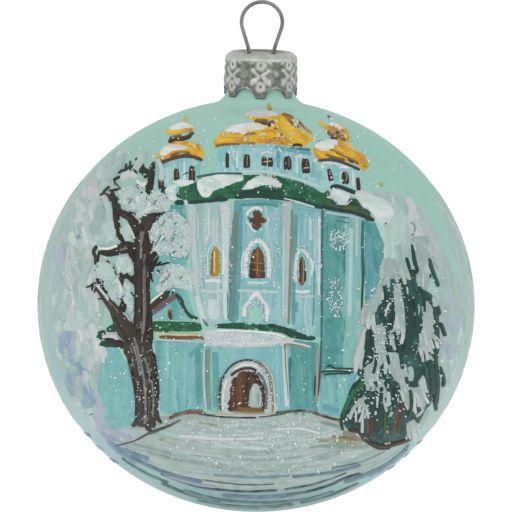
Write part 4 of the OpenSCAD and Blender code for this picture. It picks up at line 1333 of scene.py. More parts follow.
for path, width, shade in [
    ([(-2.2, 6), (-2.4, 9), (-2, 12), (-1, 13.9), (0.4, 14.7), (1.8, 13.8), (2.7, 12), (3, 9),
      (2.9, 6)], 1.0, "snow"),
    ([(-3, 6.4), (-3.2, 9.6), (-2.6, 12.6)], 0.7, "wall_white"),
    ([(-2.2, 5.2), (0.4, 5), (2.8, 5.2)], 0.7, "wall_pale"),
    ([(-2.3, 20.4), (-1.6, 21.5), (-0.6, 22.1), (0.6, 22.2), (1.6, 21.4)], 0.7, "snow"),
    ([(-2.4, 19.2), (-1.4, 18.2), (-0.9, 17.2), (0.2, 16.7)], 0.6, "wall_white"),
    ([(2.6, 20.4), (2.9, 19.2), (2, 18)], 0.5, "wall_white"),
    ([(1.6, 17.6), (0.8, 16.9)], 0.4, "wall_white"),
    ([(-11, 6.6), (-11.1, 10), (-10.8, 12.8), (-9.8, 14.2)], 0.4, "mint_pale"),
    ([(-7.6, 13), (-7.4, 9.6), (-7.7, 6.8)], 0.6, "snow"),
    ([(-12, 5.4), (-9.6, 5.6), (-7.8, 5.3)], 0.9, "snow_pink"),
    ([(9.1, 5), (9, 8), (9.3, 11), (10.2, 12.5), (11.4, 12), (12, 10.6)], 0.8, "snow"),
    ([(12.2, 11), (13, 9), (12.6, 6.6)], 0.7, "wall_white"),
    ([(8.8, 3.2), (10.6, 2.9), (12.6, 3.2)], 0.8, "wall_white"),
    ([(-14.1, 32), (-13.4, 32.8)], 0.5, "wall_white"), ([(14.9, 31.6), (15.6, 31.9)], 1.0, "snow"),
    ([(19, 31.4), (20.2, 31.6), (21.2, 31.1)], 0.6, "snow"),
    ([(9.6, 33.6), (10.2, 34.2), (10.8, 34)], 0.7, "snow_pink"),
    ([(0.8, 34.4), (2.4, 35), (4, 34.6)], 0.4, "wall_white"),
    # the snowy gable over the niche
    ([(-3, -2.8), (-2.6, -0.6), (-1.4, 1), (0.1, 3), (1.3, 1.2), (2.5, -0.4), (2.9, -2.6)], 1.0,
     "snow_pink"),
    ([(-1.6, 0.9), (0, 2.4), (1, 1.2)], 1.1, "snow"), ([(-2.4, -0.8), (-2.6, -3)], 0.7, "snow"),
    ([(2.2, -0.4), (2.5, -2.4), (2.4, -4)], 0.9, "wall_white"),
]:
    frames.stroke(path, width, shade, 0.17, 0.1, tips=(0.6, 0.5))
frames.fill([(-2.1, -3.9), (-2, -2), (-1.3, -0.4), (-0.2, 0), (0.9, -0.3), (1.7, -1.6), (1.9, -3.9)],
            ["mint", "teal_pale", "mint"], 0.14, 0.05, grain=0.6)
frames.stroke([(0.9, -0.2), (1.6, -1.2), (1.9, -2.6), (1.9, -4)], 0.3, "sand_green", 0.2, 0.05)
frames.finish("window_snow", snow_paint, 0.95)

# %% [markdown]
# ## The doorway
#
# The doorway is the darkest thing on the wall, which is what draws the eye to it: a brown
# opening, a lighter door leaf ajar in it, a ring of dark stones dotted with frost, then a broad
# white arch with an ink line on its left and an olive one on its right.

# %% Doorway
door = Paint(front, 79)
door.fill([(-8.2, -24.8), (-8.2, -20), (-7.6, -16.8), (-6, -14.2), (-3.6, -12.8), (-1.6, -12.4),
           (0.6, -13), (2.2, -14.6), (3.4, -17.4), (4, -20.6),
           (4.4, -24.8)], ["snow", "frost_pale", "snow_pink"], 0.12, 0.08,
          grain=0.8, patch=(0.1, 0.5))
door.fill([(-6.4, -24.7), (-6.7, -21.4), (-6.3, -18), (-5, -15.8), (-3, -14.7), (-1.4, -14.5),
           (0.4, -15.3), (1.8, -17), (2.5, -19.6), (2.7, -22.4),
           (2.3, -24.7)], ["brown", "brown_dark", "brown", "rust"], 0.16,
          0.06, grain=0.7, patch=(0.08, 0.7))
door.fill([(-1.7, -23.6), (-1.7, -20.4), (-1.2, -18.4), (-0.2, -17.5), (0.8, -18.1), (1.5, -19.6),
           (1.7, -23.4)],
          ["snow_grey", "frost", "frost_pale"], 0.22, 0.06, grain=0.6, patch=(0.1, 1.6))
for path, width, shade in [
    ([(-6, -16.4), (-4, -15), (-1.6, -14.5), (0.4, -15.2)], 0.8, "bark"),
    ([(0.2, -15.3), (1.6, -17), (2.3, -19.4), (2.4, -22), (2.2, -24.2)], 0.8, "slate"),
    ([(-2.6, -16.6), (-1.2, -16.2), (0.2, -16.8), (1.2, -18), (1.9, -20)], 0.6, "bark_dark"),
    ([(-2, -17.6), (-2.2, -21), (-2, -23.6)], 0.6, "ink"),
    ([(-4.4, -23.6), (-2, -23.9), (1.8, -23.8)], 0.9, "umber"),
    ([(-5, -17.4), (-5.2, -21), (-5, -23.4)], 1.0, "brown"),
    ([(-3.6, -16.2), (-3.6, -20), (-3.4, -22.4)], 0.9, "rust"),
    ([(-5.6, -24.4), (0, -24.6), (2.2, -24.5)], 0.6, "tan"),
    ([(1.2, -22), (1.3, -23.6)], 0.3, "slate"), ([(0.5, -20), (0.5, -23.2)], 0.25, "slate"),
    ([(-0.6, -18.6), (-0.7, -23)], 0.3, "snow"),
    ([(-8.1, -24.6), (-8.3, -20.6), (-7.8, -17.4), (-6.6, -15), (-4.8, -13.4), (-2.6, -12.7),
      (-0.6, -12.8)], 0.4, "ink"),
    ([(-8.6, -24.4), (-8.7, -19.6), (-8, -16.4)], 0.5, "olive"),
    ([(-0.8, -12.8), (0.8, -13.5), (1.6, -14.4)], 0.3, "bark"),
    ([(0.6, -13.2), (2, -14.4), (3.2, -17), (3.7, -20), (3.9, -24.8)], [0.5, 0.8, 0.8, 0.7, 0.4],
     "tan"), ([(3, -16), (3.6, -19), (3.8, -23)], 0.3, "olive"),
    ([(1.4, -13), (3, -15), (4, -18), (4.4, -24.4)], 0.4, "wall_white"),
    ([(-7.5, -24.4), (-7.5, -20), (-6.6, -16.8)], 0.7, "snow_white"),
    ([(-5.2, -14.9), (-3.2, -13.8), (-0.8, -13.7), (1, -14.7)], 0.7, "snow_white"),
    ([(3, -18.6), (3.2, -22), (3.2, -24.6)], 0.4, "cream"),
    ([(-4.6, -22.9), (-3.2, -22.5)], 0.4, "gold_deep"),
]:
    door.stroke(path, width, shade, 0.26, 0.06, tips=(0.6, 0.4), columns=5)
for x, z in [(-6.2, -18), (-5.4, -16.8), (-5.2, -19.4), (-5.4, -20.3), (-5.8, -17.6), (-4.4, -16),
             (-2.8, -19.8), (-1.7, -16.9), (-3, -18.6), (-6.3, -23), (-5, -22.6), (-3.4, -22.4),
             (-2.4, -21.4), (0.3, -17), (1.3, -18.6), (2, -20), (-2.2, -22.4), (-2, -15.2), (0, -15.8),
             (1.6, -17.4), (-3.6, -15.2), (-6, -20.8)]:
    door.dot(np.array([x, z]), 0.24, "snow_pink", 0.3)
door.finish("doorway", line_paint, 0.82)

# %% [markdown]
# ## The snowy ground and the bands of ice
#
# In front of the church lies trodden snow: strokes that run level in the middle and curl up
# round the ball at both sides. Below it, the ball is left as bare lacquer with long thin lines
# of blue, lilac and deep teal drawn round it, like ice.

# %% Ground
ground = Paint(front, 83)
ground.fill([(-22.6, -25.6), (-17, -24.9), (-8, -25), (4, -24.8), (10, -24.3), (14, -25.3), (20, -26.9),
             (25, -31), (29, -33), (34, -31.6), (38.6, -28.4), (35, -33), (28, -37), (18, -40.4),
             (8, -42.3), (0, -42.8), (-10, -42.3), (-20, -39.8), (-28, -35.8), (-34, -31.4),
             (-38, -26.8), (-34, -28.6), (-30, -28.3), (-26.6, -27)],
            ["path_grey", "path", "frost", "path", "mint_grey"], lift=0.05, thick=0.05, grain=1.3,
            way=3, patch=(0.05, 0.4))


def round_the_ball(p):
    """The way of a level stroke, which curls up at both sides as it goes round the ball."""
    return math.degrees(math.atan2(p[0] * 0.42, 40 + p[1] * 0.12))


ground.hatch([(-20, -26.6), (-6, -26.2), (8, -26), (18, -28), (24, -32), (10, -33), (-10, -33),
              (-24, -31.6), (-26, -29)],
             190, 8, 0.9, round_the_ball, ["path", "frost_pale", "path", "snow_grey", "frost"], 0.1,
             0.03, spread=2)
ground.hatch([(-34, -31), (-24, -32), (-10, -33.4), (10, -33.4), (26, -33), (33, -33), (24, -38),
              (10, -41.6), (-8, -41.8), (-22, -38)],
             200, 9, 0.9, round_the_ball, ["path_grey", "frost", "path", "path", "mint_grey"], 0.09,
             0.025, spread=2)
ground.hatch([(-16, -28), (0, -27), (14, -29), (18, -32), (0, -33.4), (-16, -32)], 50, 5, 0.5,
             round_the_ball, ["snow", "snow_grey", "frost_pale"], 0.12, 0.03, spread=2)
for path, width, shade in [
    ([(-36, -27.6), (-32, -29.4), (-28, -31)], 1.6, "lilac_pale"),
    ([(-36, -29), (-33, -31), (-29, -33)], 1.2, "lilac"),
    ([(-34, -31), (-29, -33.8), (-24, -35.6)], 1.2, "arc_blue"),
    ([(-28.6, -31.9), (-24, -33), (-19, -34.4)], 0.8, "sand_green"),
    ([(-25, -33.8), (-18, -35.6), (-11, -36.4)], 0.7, "sand_green"),
    ([(-22.6, -30.9), (-20, -30.8)], 0.8, "sand"),
    ([(-13.6, -26.9), (-10.6, -27.4), (-8.5, -27.7)], 0.6, "sand"),
    ([(14.5, -27), (17, -27.4), (19.4, -28.2)], 0.8, "sand_green"),
    ([(13, -31), (19, -31.4), (25, -31.6)], 1.2, "sand"),
    ([(19.4, -29.4), (22.4, -29.9), (24.8, -30.8)], 1.3, "tan"),
    ([(17, -30.2), (21, -30.6), (24.6, -31.2)], 0.8, "ochre_dark"),
    ([(15, -32.4), (20, -32.6), (26, -32.6)], 0.9, "sand_green"),
    ([(12, -32.6), (17, -32.3), (22, -32)], 0.7, "sand_green"),
    ([(-18, -30), (-8, -30.8), (2, -30.6)], 0.7, "snow_white"),
    ([(4, -28.6), (10, -28.4), (15, -29.6)], 0.6, "snow_white"),
    ([(-6, -34.6), (4, -34.9), (13, -33.9)], 0.6, "mint_pale"),
]:
    ground.stroke(path, width, shade, 0.13, 0.035, tips=(0.1, 0.1))
ground.finish("snowy_ground", snow_paint, 0.73)

# %% Kerb, shadow lines and bands of ice
ice = Paint(front, 89)
for path, width, shade in [
    # the foot of the wall
    ([(-32.4, -32.4), (-30, -31.8), (-27.8, -31.2), (-24, -29.2), (-20.2, -27.8), (-16.9, -26.3)],
     [0.6, 0.4, 0.5, 0.8, 0.7, 0.4], "ink_brown"),
    ([(-24.6, -29.9), (-22, -28.9), (-19, -27.6)], 0.3, "olive"),
    ([(-20.2, -26.2), (-17.5, -25.1), (-14, -24.7), (-11.4, -25.1)], 0.9, "rust"),
    ([(-18, -25), (-15, -24.3), (-12, -24.5)], 0.5, "umber"),
    ([(-13.4, -25), (-9, -25.6), (-4, -25.9), (0.4, -25.9)], 0.45, "ink_brown"),
    ([(4.4, -24.9), (8, -24.5), (11, -24.3), (14, -25.2), (18, -26.3), (19.6, -26.5)], 0.7, "brown"),
    ([(9, -24.1), (12, -24.3), (14.6, -25)], 0.5, "umber"),
    ([(-10, -24.9), (-4, -25.1), (4, -25)], 0.6, "cream"),
    ([(0.4, -25.8), (4, -25.4), (7, -24.9)], 0.35, "ink_brown"),
    ([(-9.6, -25.3), (-2, -25.5), (3, -25.3)], 0.4, "snow_white"),
    ([(12, -24.8), (15, -25.9), (19, -27)], 0.5, "snow"),
    # lines drawn right round below the ground
    ([(-29, -34.6), (-24, -37.2), (-18, -39.3), (-12, -40.6)], 1.1, "arc_blue"),
    ([(-22, -38.9), (-16, -40.7), (-9, -41.8)], 0.9, "lilac_pale"),
    ([(-12.4, -40.1), (-6, -41), (0, -41.3), (4.4, -41.1)], 0.4, "arc_ink"),
    ([(-22, -38.8), (-14, -41.6), (-8, -42.5), (-2, -42.9), (5, -42.6)], 0.5, "arc_ink"),
    ([(6.4, -42.4), (12, -41.5), (17, -40), (21, -38.4)], 0.4, "arc_ink"),
    ([(6.5, -43.7), (12, -42.9), (17, -41.4), (20, -40), (24, -38.7)], 0.6, "arc_ink"),
    ([(-8, -43.8), (-2, -44.2), (4, -44.1), (9, -43.6)], 1.0, "arc_blue"),
    ([(-17, -42.6), (-10, -44.5), (-4, -45.3), (3, -45.5), (12, -44.7), (18, -43)], 0.8, "arc_teal"),
    ([(-22, -41), (-15, -43.9), (-8, -45.6)], 0.9, "arc_deep"),
    ([(-9, -46.5), (0, -47), (9, -46.3)], 1.4, "arc_deep"),
    ([(10, -46), (17, -44.2), (24, -41.3)], 1.0, "arc_deep"),
    ([(-14, -45.4), (-6, -46.6), (4, -46.8)], 0.7, "arc_teal"),
    ([(8, -39.5), (17, -38.5), (24.4, -36.7)], 0.9, "arc_blue"),
    ([(17, -37.6), (24, -36), (30, -33.4)], 0.4, "arc_teal"),
    ([(20, -40.9), (27, -38.3), (32, -35.4), (35.6, -32)], 1.5, "arc_blue"),
    ([(26, -39.9), (31, -37.2), (35.4, -33.4)], 1.1, "haze"),
    ([(24, -38.6), (30, -35.7), (34.4, -32.3)], 0.8, "mint_pale"),
    ([(22, -36), (27.4, -34.3), (32, -32)], 1.3, "mint_pale"),
    ([(-31, -35.2), (-26, -38.4), (-20, -41)], 0.7, "arc_teal"),
    ([(-34.4, -31), (-31, -34), (-27.4, -36.6)], 1.3, "haze"),
    ([(-3, -40), (6, -40.2), (14, -39.4)], 0.5, "mint_pale"),
    ([(-10, -39), (0, -39.6), (8, -39.2)], 0.7, "haze"),
    ([(-5, -30.8), (-4.7, -31)], 0.5, "ink_brown"),
    ([(34, -31), (37.4, -28.4), (40, -24)], 1.3, "mint_pale"),
]:
    ice.stroke(path, width, shade, 0.15, 0.04, tips=(0.1, 0.1), columns=5)
ice.finish("ice_lines", wash, 0.58)

# %% [markdown]
# ## The bare tree
#
# On the left stands an old tree. Trunk and limbs are strokes that thin as they climb, laid dark
# first, then greyed with a dry brush so the bark shows furrows. The limbs fork low and droop at
# their ends. Snow and hoar frost hang on them in heavy clumps, and glitter is strewn over the
# clumps while they are wet.

# %% Behind the trunk
backdrop = Paint(front, 97)
backdrop.fill([(-35, -10), (-32, -9.8), (-30.5, -12), (-28.8, -15.5), (-28, -20), (-27, -24),
               (-27.8, -27.2), (-30, -28.2), (-33.4, -28.4), (-35.4, -26.5), (-36.4, -23),
               (-36.9, -18.5), (-36.5, -15.6), (-35, -13.6)],
              ["teal_pale", "wall_mid", "teal_pale"], 0.08, 0.06, grain=1.0)
backdrop.hatch([(-34.6, -11), (-31, -11), (-28.4, -17), (-27.6, -26), (-33, -27.6), (-36, -22),
                (-36, -15)], 40, 6, 1.0, -84,
               ["teal_pale", "wall_mid", "teal_pale"], 0.12, 0.03, spread=4)
backdrop.finish("far_wall", wall_paint, 0.8)

# %% Trunk and limbs
LIMBS = [
    ([(-25.2, -28.4), (-24.9, -23), (-25.3, -18), (-26.3, -13), (-27.6, -8.5), (-28.8, -4.6)],
     [6.0, 4.9, 5.2, 6.2, 6.6, 6.0]),
    ([(-27.2, -9), (-26.2, -3), (-26.2, 3), (-26.2, 8), (-26.2, 13), (-26.1, 17), (-25.7, 19)],
     [4, 3.8, 3.6, 3.6, 3.8, 3.6, 2.4]),
    ([(-29, -7.5), (-31.6, -2.6), (-33.6, 0.3), (-35.6, 2.6), (-37.4, 4.4)], [5.5, 4.2, 2.4, 1.5, 0.8]),
    ([(-31, -2), (-30.4, 0.2), (-30, 2.5)], [2.2, 1.4, 0.5]),
    ([(-36.8, 4), (-38, 4.2), (-39.2, 3.9)], 0.45),
    ([(-36.6, 6.2), (-35.2, 3.6), (-34, 2.6)], 0.7),
    ([(-26.8, 14.5), (-27.8, 18), (-29, 20), (-30.8, 21), (-32, 21.8), (-32.5, 24), (-33.3, 26.8)],
     [3, 2.6, 1.9, 1.6, 1.6, 1.3, 0.7]),
    ([(-31.4, 21.2), (-31.5, 24.4)], 1.0), ([(-33.6, 21.1), (-32, 21.2)], 0.7),
    ([(-32.2, 21.5), (-31.9, 18.5), (-31.2, 16), (-30.2, 14.2)], [1.6, 1.3, 1.5, 1.4]),
    ([(-26.2, 16), (-25, 18.8), (-23.8, 20.3), (-22.4, 21)], [3.4, 2.8, 2.2, 1.0]),
    ([(-24, 18.6), (-22.3, 20), (-20.6, 21.5)], [1.2, 0.7, 0.35]),
    ([(-26.8, 12.2), (-29.5, 13.2), (-31.5, 12.6), (-34, 11.9), (-36.6, 12.1)],
     [2.6, 2.8, 2.5, 1.6, 0.9]),
    ([(-36.4, 13.8), (-37.2, 12.2), (-36.7, 10.8), (-36.9, 9)], [0.5, 0.9, 0.9, 0.5]),
    ([(-36, 12), (-36.2, 9.4)], 0.5),
    ([(-29.3, 12.2), (-27.8, 10.6), (-27, 8)], [1, 1.6, 1.6]),
    ([(-27.4, 4.8), (-29.3, 6.4), (-30.8, 6.6), (-30.9, 8.2)], [1.6, 1.1, 0.9, 0.6]),
    ([(-31.2, 6.6), (-30.3, 4.2)], 0.7), ([(-34.4, 10.2), (-33.2, 9)], 0.5),
    ([(-25, 9), (-23.9, 11), (-22.2, 12.4), (-20.8, 14.2)], [1.6, 1.2, 1, 0.6]),
    ([(-25.2, 5.2), (-24, 8.3), (-22.9, 10.2), (-22.2, 11.2)], [1.4, 1.2, 1, 0.5]),
    ([(-25.4, -3), (-23.4, -0.2), (-21.6, 1.5), (-19.6, 3.4)], [2.4, 2, 1.8, 1.0]),
    ([(-24.6, 12.2), (-23.2, 14.8)], 0.7),
    ([(-25.4, 22), (-24.6, 25.8), (-24.1, 29), (-23.5, 33)], [1.8, 1.6, 1.5, 0.9]),
    ([(-24.3, 30.2), (-26.5, 31.6), (-28.6, 31.9)], [1.0, 0.9, 0.6]),
    ([(-30, -9.6), (-33, -8.2), (-35.2, -7.7)], [2, 1.4, 0.8]),
    ([(-27, -26), (-27.8, -27.4), (-29, -28.2)], [1.6, 1.1, 0.6]),
    ([(-23.4, -23.6), (-22.6, -26), (-21.4, -27.4)], [1.6, 1.1, 0.5]),
    ([(-25, -26), (-24.6, -28.4), (-23.6, -29.2)], [2.4, 1.6, 0.6]),
    ([(-25.6, 19.4), (-26.4, 22.6), (-28, 25)], [1.0, 0.8, 0.4]),
    ([(-32.4, 24), (-34.6, 25.4), (-36, 25)], [0.9, 0.7, 0.4]),
    ([(-28.4, 31.9), (-30.6, 30.6)], [0.7, 0.3]),
    ([(-19.9, -1.4), (-19.5, -3.5)], 0.6),
]
tree = Paint(front, 101)
for path, width in LIMBS:
    tree.stroke(path, width, ["bark_dark", "bark"], 0.2, 0.16, tips=(0.7, 0.3), columns=9)
for path, width, shade in [
    ([(-26.6, -27), (-26.4, -22), (-26.8, -17), (-28, -12), (-29.4, -8)], 1.5, "bark"),
    ([(-24.4, -27), (-24, -22), (-24.4, -17), (-25.4, -12)], 1.4, "bark"),
    ([(-25.4, -27.6), (-25.2, -22), (-25.6, -17), (-26.6, -12), (-28, -7)], 0.7, "bark_pale"),
    ([(-23.6, -26), (-23.4, -21), (-23.8, -17)], 0.45, "bark_pale"),
    ([(-26, -26.6), (-26, -21), (-26.6, -16)], 0.35, "snow_grey"),
    ([(-24.6, -26.4), (-24.4, -21), (-24.8, -18)], 0.35, "bark_pink"),
    ([(-27.8, -10), (-29, -5.8), (-31.4, -2.6), (-33.4, 0.2)], 1.2, "bark"),
    ([(-29, -9), (-30.8, -5.4), (-32.6, -2.4)], 0.8, "bark_dark"),
    ([(-26.8, -6), (-26.7, 0), (-26.7, 7), (-26.8, 14)], 1.1, "bark"),
    ([(-25.9, -7), (-25.4, -1), (-25.5, 5), (-25.5, 12)], 0.9, "bark_pink"),
    ([(-25.8, 4), (-25.5, 0), (-25.6, -5), (-26.2, -9)], [0.5, 0.6, 0.6, 0.3], "bark_pale"),
    ([(-26.3, 10), (-26.2, 14), (-25.6, 17)], 0.8, "bark_pale"),
    ([(-25.6, -11.6), (-24.5, -15), (-24.1, -17)], 0.7, "bark_pale"),
    ([(-27, -1), (-27, 5)], 0.7, "bark_dark"), ([(-26.2, 6), (-26, 11)], 0.6, "bark_dark"),
    ([(-24.6, 4.5), (-24.6, 0), (-24.3, -4), (-24, -9)], [0.5, 0.8, 1.1, 1], "bark_dark"),
    ([(-29.2, -12), (-28, -17), (-27.3, -22), (-27.4, -26)], 0.8, "ink_brown"),
    ([(-23.5, -11), (-22.9, -15.5), (-22.5, -19), (-22.6, -23)], 0.6, "ink_brown"),
    ([(-27.2, 4), (-27.4, 9), (-27, 13)], 0.6, "ink_brown"),
    ([(-24, -2), (-22, -0.5), (-20, 1), (-18.2, 2.4)], 1.3, "bark_pink"),
    ([(-28.8, 13.5), (-31.4, 12.9), (-34, 12.2)], 0.6, "bark"),
    ([(-29, 13), (-31.6, 12.3)], 0.5, "bark_pale"),
    ([(-27.4, 16.6), (-28.6, 19.2), (-30.6, 20.8)], 0.7, "bark"),
    ([(-21.4, 12.4), (-20.6, 13.6), (-20.2, 14.6)], 0.8, "plum"),
    ([(-30.6, -1.6), (-29.6, -2.4), (-28.6, -3.6), (-27.9, -1.4)], 0.45, "snow_white"),
    ([(-25.8, 16), (-24.8, 18.6)], 0.7, "bark"),
    ([(-27.4, -13.6), (-26.8, -19), (-26.8, -24)], 0.5, "bark_dark"),
    ([(-25, -14.6), (-24.6, -20), (-24.9, -25)], 0.4, "bark_dark"),
    ([(-31.2, -2.2), (-32.6, -0.4), (-34.8, 2)], 0.5, "bark_pale"),
    ([(-26.4, -16.6), (-27.2, -12), (-28.4, -8.6)], 0.5, "bark_pale"),
]:
    tree.stroke(path, width, shade, 0.34, 0.07, tips=(0.3, 0.2))
tree.hatch([(-29.4, -6), (-26, -6), (-23.4, -14), (-23, -24), (-26.4, -26), (-28, -20)], 46, 2.2, 0.35,
           -80, ["bark_pale", "bark_dark", "bark", "bark_pink"], 0.38, 0.05, spread=7)
tree.hatch([(-27.6, -4), (-24.8, -4), (-24.8, 16), (-27.4, 16)], 34, 2.0, 0.35, 90,
           ["bark_pale", "bark_dark", "bark", "ink_brown"], 0.38, 0.05, spread=7)
for outline, count, shades in [
    ([(-34, 5), (-28, 21), (-21, 21), (-20, 4), (-26, -1)], 40, ["bark_dark", "ink_brown"]),
    ([(-36, 23), (-31, 32), (-24.6, 33), (-24, 22), (-30, 20)], 34, ["bark_dark", "green_dark"]),
    ([(-39, 4), (-35, 10), (-31, 8), (-31, 1), (-35, 0)], 12, ["bark_dark", "ink_brown"]),
]:
    tree.hatch(outline, count, 2.4, 0.34, 64, shades, 0.3, 0.1, spread=40)
tree.finish("bare_tree", bark_paint, 0.62)

# %% Snow and hoar frost on the tree
CLUMPS = [
    # hanging from the limbs
    ([(-31.5, 24.5), (-31, 26.6), (-28.5, 27.4), (-26, 26.6), (-24.4, 26), (-24, 22), (-24.9, 20),
      (-26, 19.6), (-27, 18.8), (-28, 20.4), (-28.7, 21.2), (-30.8, 21.7), (-31.4, 22.5)], 10),
    ([(-34.2, 19.6), (-32.6, 19.4), (-32, 16.5), (-32.2, 14.6), (-34, 13.6), (-36, 13.5), (-37.2, 14.7),
      (-37, 17)], 8),
    ([(-36.8, 8.8), (-35.5, 10), (-33.5, 9.8), (-32, 8), (-31.2, 5.5), (-30, 3.5), (-30.2, 2.2),
      (-31.5, 1.4), (-32.8, 0.6), (-33.8, 1.6), (-34.5, 4), (-35.8, 6), (-37.2, 7.5)], 10),
    ([(-32, 11.3), (-30.5, 11.9), (-29, 11.3), (-28.1, 9), (-28, 7.4), (-29, 7.2), (-31, 6.8),
      (-31.8, 8.5)], 5),
    ([(-30.1, 5.5), (-29.2, 5.2), (-28.4, 4.2), (-28.1, 1), (-28.3, -1), (-28.8, -2.4), (-29.4, -1.4),
      (-29.8, 0.5), (-30.2, 2.5)], 3),
    # over the twigs on the right of the trunk
    ([(-24.6, 26), (-23, 26.2), (-21.5, 25.2), (-20, 23.8), (-19.4, 22.4), (-20.4, 21.3), (-22.5, 21.3),
      (-24, 21.6), (-24.6, 23)], 10),
    ([(-22.5, 20.2), (-20.5, 21.2), (-18.5, 21.2), (-16.3, 20), (-15.2, 17.5), (-14.9, 14),
      (-15.7, 11.3), (-18, 10.8), (-20.5, 11.4), (-22.2, 11), (-23.6, 12.5), (-24, 15),
      (-24.2, 17.5)], 26),
    ([(-21, 9.3), (-18.5, 9.5), (-15.5, 8.5), (-13.6, 6.5), (-13.5, 4.2), (-15.3, 3.3), (-18, 3.7),
      (-19.5, 3.9), (-21.8, 2.4), (-23.2, 3.4), (-22.5, 5), (-21.5, 6.5)], 18),
    ([(-30.4, 19), (-28.8, 18.6), (-28.2, 16.6), (-28.8, 14.6), (-30.4, 14.6), (-31, 16.4)], 3),
]
clumps = Paint(front, 103)
for outline, count in CLUMPS:
    clumps.fill(outline, ["frost", "mint_pale", "frost_pale"], lift=0.16, thick=0.12, lumps=0.25,
                grain=0.8, patch=(0.35, 0.35))
    clumps.hatch(outline, count * 3, 2.4, 1.2, -72,
                 ["frost_pale", "snow", "mint_pale", "frost", "snow_pink"], 0.34, 0.1, spread=24)
for path, width, shade in [
    ([(-33.2, 20.2), (-34, 23), (-35, 25.4)], 1.6, "frost_pale"),
    ([(-35.4, 23), (-36.4, 19), (-38, 16)], 2.0, "frost"),
    ([(-31, 28.4), (-29.4, 29.8), (-27, 29.4)], 1.6, "snow"),
    ([(-22.8, 33.6), (-21.6, 31), (-21.8, 28)], 1.2, "frost_pale"),
    ([(-25.8, 35.4), (-26.4, 32.8), (-28, 30.4)], 1.8, "frost_pale"),
    ([(-30.6, 34), (-32, 31), (-34, 28.4)], 2.0, "frost"),
    ([(-24.8, 28), (-26, 27.4), (-27.6, 28.6)], 1.0, "snow_white"),
    ([(-31.4, 5.6), (-30.8, 3.6), (-31.2, 2)], 0.5, "snow_white"),
    ([(-22.8, 12.4), (-22, 14.6), (-20.6, 16)], 0.5, "snow_white"),
    ([(-27.6, 14.8), (-28.6, 17), (-29.4, 18.6)], 0.6, "snow"),
    ([(-22, 5), (-21, 6.6), (-19.6, 7.4)], 0.6, "snow_pink"),
    ([(-37.6, 10.6), (-38.6, 8), (-39.6, 5)], 1.6, "frost"),
    ([(-24.2, 0.4), (-22.6, 1.8), (-21, 2.9)], 0.5, "snow_white"),
    ([(-35.4, -7.4), (-33, -7.1), (-31.4, -8)], 0.9, "snow_pink"),
    ([(-25.6, 20.6), (-24.6, 21.8), (-23, 22.2)], 0.8, "snow_white"),
    ([(-36.2, 12.9), (-33.6, 12.8), (-31.4, 13.6)], 0.6, "snow_white"),
    ([(-33.4, 0.9), (-35, 2.9), (-36.6, 4.8)], 0.6, "snow"),
]:
    clumps.stroke(path, width, shade, 0.4, 0.12, tips=(0.5, 0.2))
for path, width, shade in [
    ([(-23.4, 12.8), (-22.2, 14.4), (-21.6, 16.4)], 0.5, "teal_ink"),
    ([(-20, 13), (-18.8, 15), (-18.4, 17)], 0.4, "teal_ink"),
    ([(-17.2, 12.4), (-16.6, 14.4)], 0.5, "teal_deep"),
    ([(-22, 4.6), (-20.4, 5.8), (-19.4, 7.4)], 0.4, "slate"),
    ([(-17.6, 5), (-16.6, 7)], 0.4, "teal_ink"),
    ([(-23.6, 22.4), (-22.4, 24.2)], 0.5, "slate"), ([(-21.8, 17.6), (-20.4, 19.4)], 0.5, "bark_pink"),
    ([(-18.8, 18), (-17.8, 19)], 0.4, "teal_ink"),
    ([(-29.4, 22.6), (-28, 24.4)], 0.4, "slate"), ([(-19.2, 11.6), (-18, 12.4)], 0.4, "bark"),
    ([(-30, 16), (-29.4, 17.6)], 0.5, "olive"),
]:
    clumps.stroke(path, width, shade, 0.5, 0.05, tips=(0.5, 0.2), columns=5)
clumps.finish("tree_snow", snow_paint, 0.82)

# %% [markdown]
# ## The fir
#
# On the right stands a fir bowed under snow. Its body is dark green, pulled downwards and out
# in short strokes, and its snow is laid on last with a full brush, in drooping dabs that follow
# the boughs.

# %% Dark boughs
BOUGHS = [(33.2, 6), (35.2, 8.2), (37.2, 7.5), (36.4, 5.2), (37.8, 4), (40.5, 2.3), (42, -0.5),
          (42.2, -4.5), (42.5, -8), (42.2, -12), (41.5, -16), (40.8, -20), (40.2, -22.8), (39, -24.4),
          (38.2, -26), (37.2, -27.8), (35.4, -29.8), (34.2, -31.2), (32, -31.6), (29, -32.3),
          (26.5, -31.6), (25, -30.2), (23.5, -29.4), (21, -28.6), (19.8, -26.5), (19.8, -24),
          (20.8, -21.5), (22, -18.5), (24, -16.4), (24.8, -12), (25.2, -8), (26, -5), (27, -1.4),
          (28.6, 2.4), (29.6, 5.4), (31.4, 6)]
fir = Paint(front, 107)
fir.fill(BOUGHS, ["fir", "green_dark", "fir", "teal_ink"], lift=0.12, thick=0.14, lumps=0.12, grain=1.0,
         way=-70, patch=(0.2, 0.5))


def drooping(p):
    """Boughs hang straight down in the fir's middle and swing outwards at its sides."""
    return -90 + (p[0] - 31.5) * 4.2


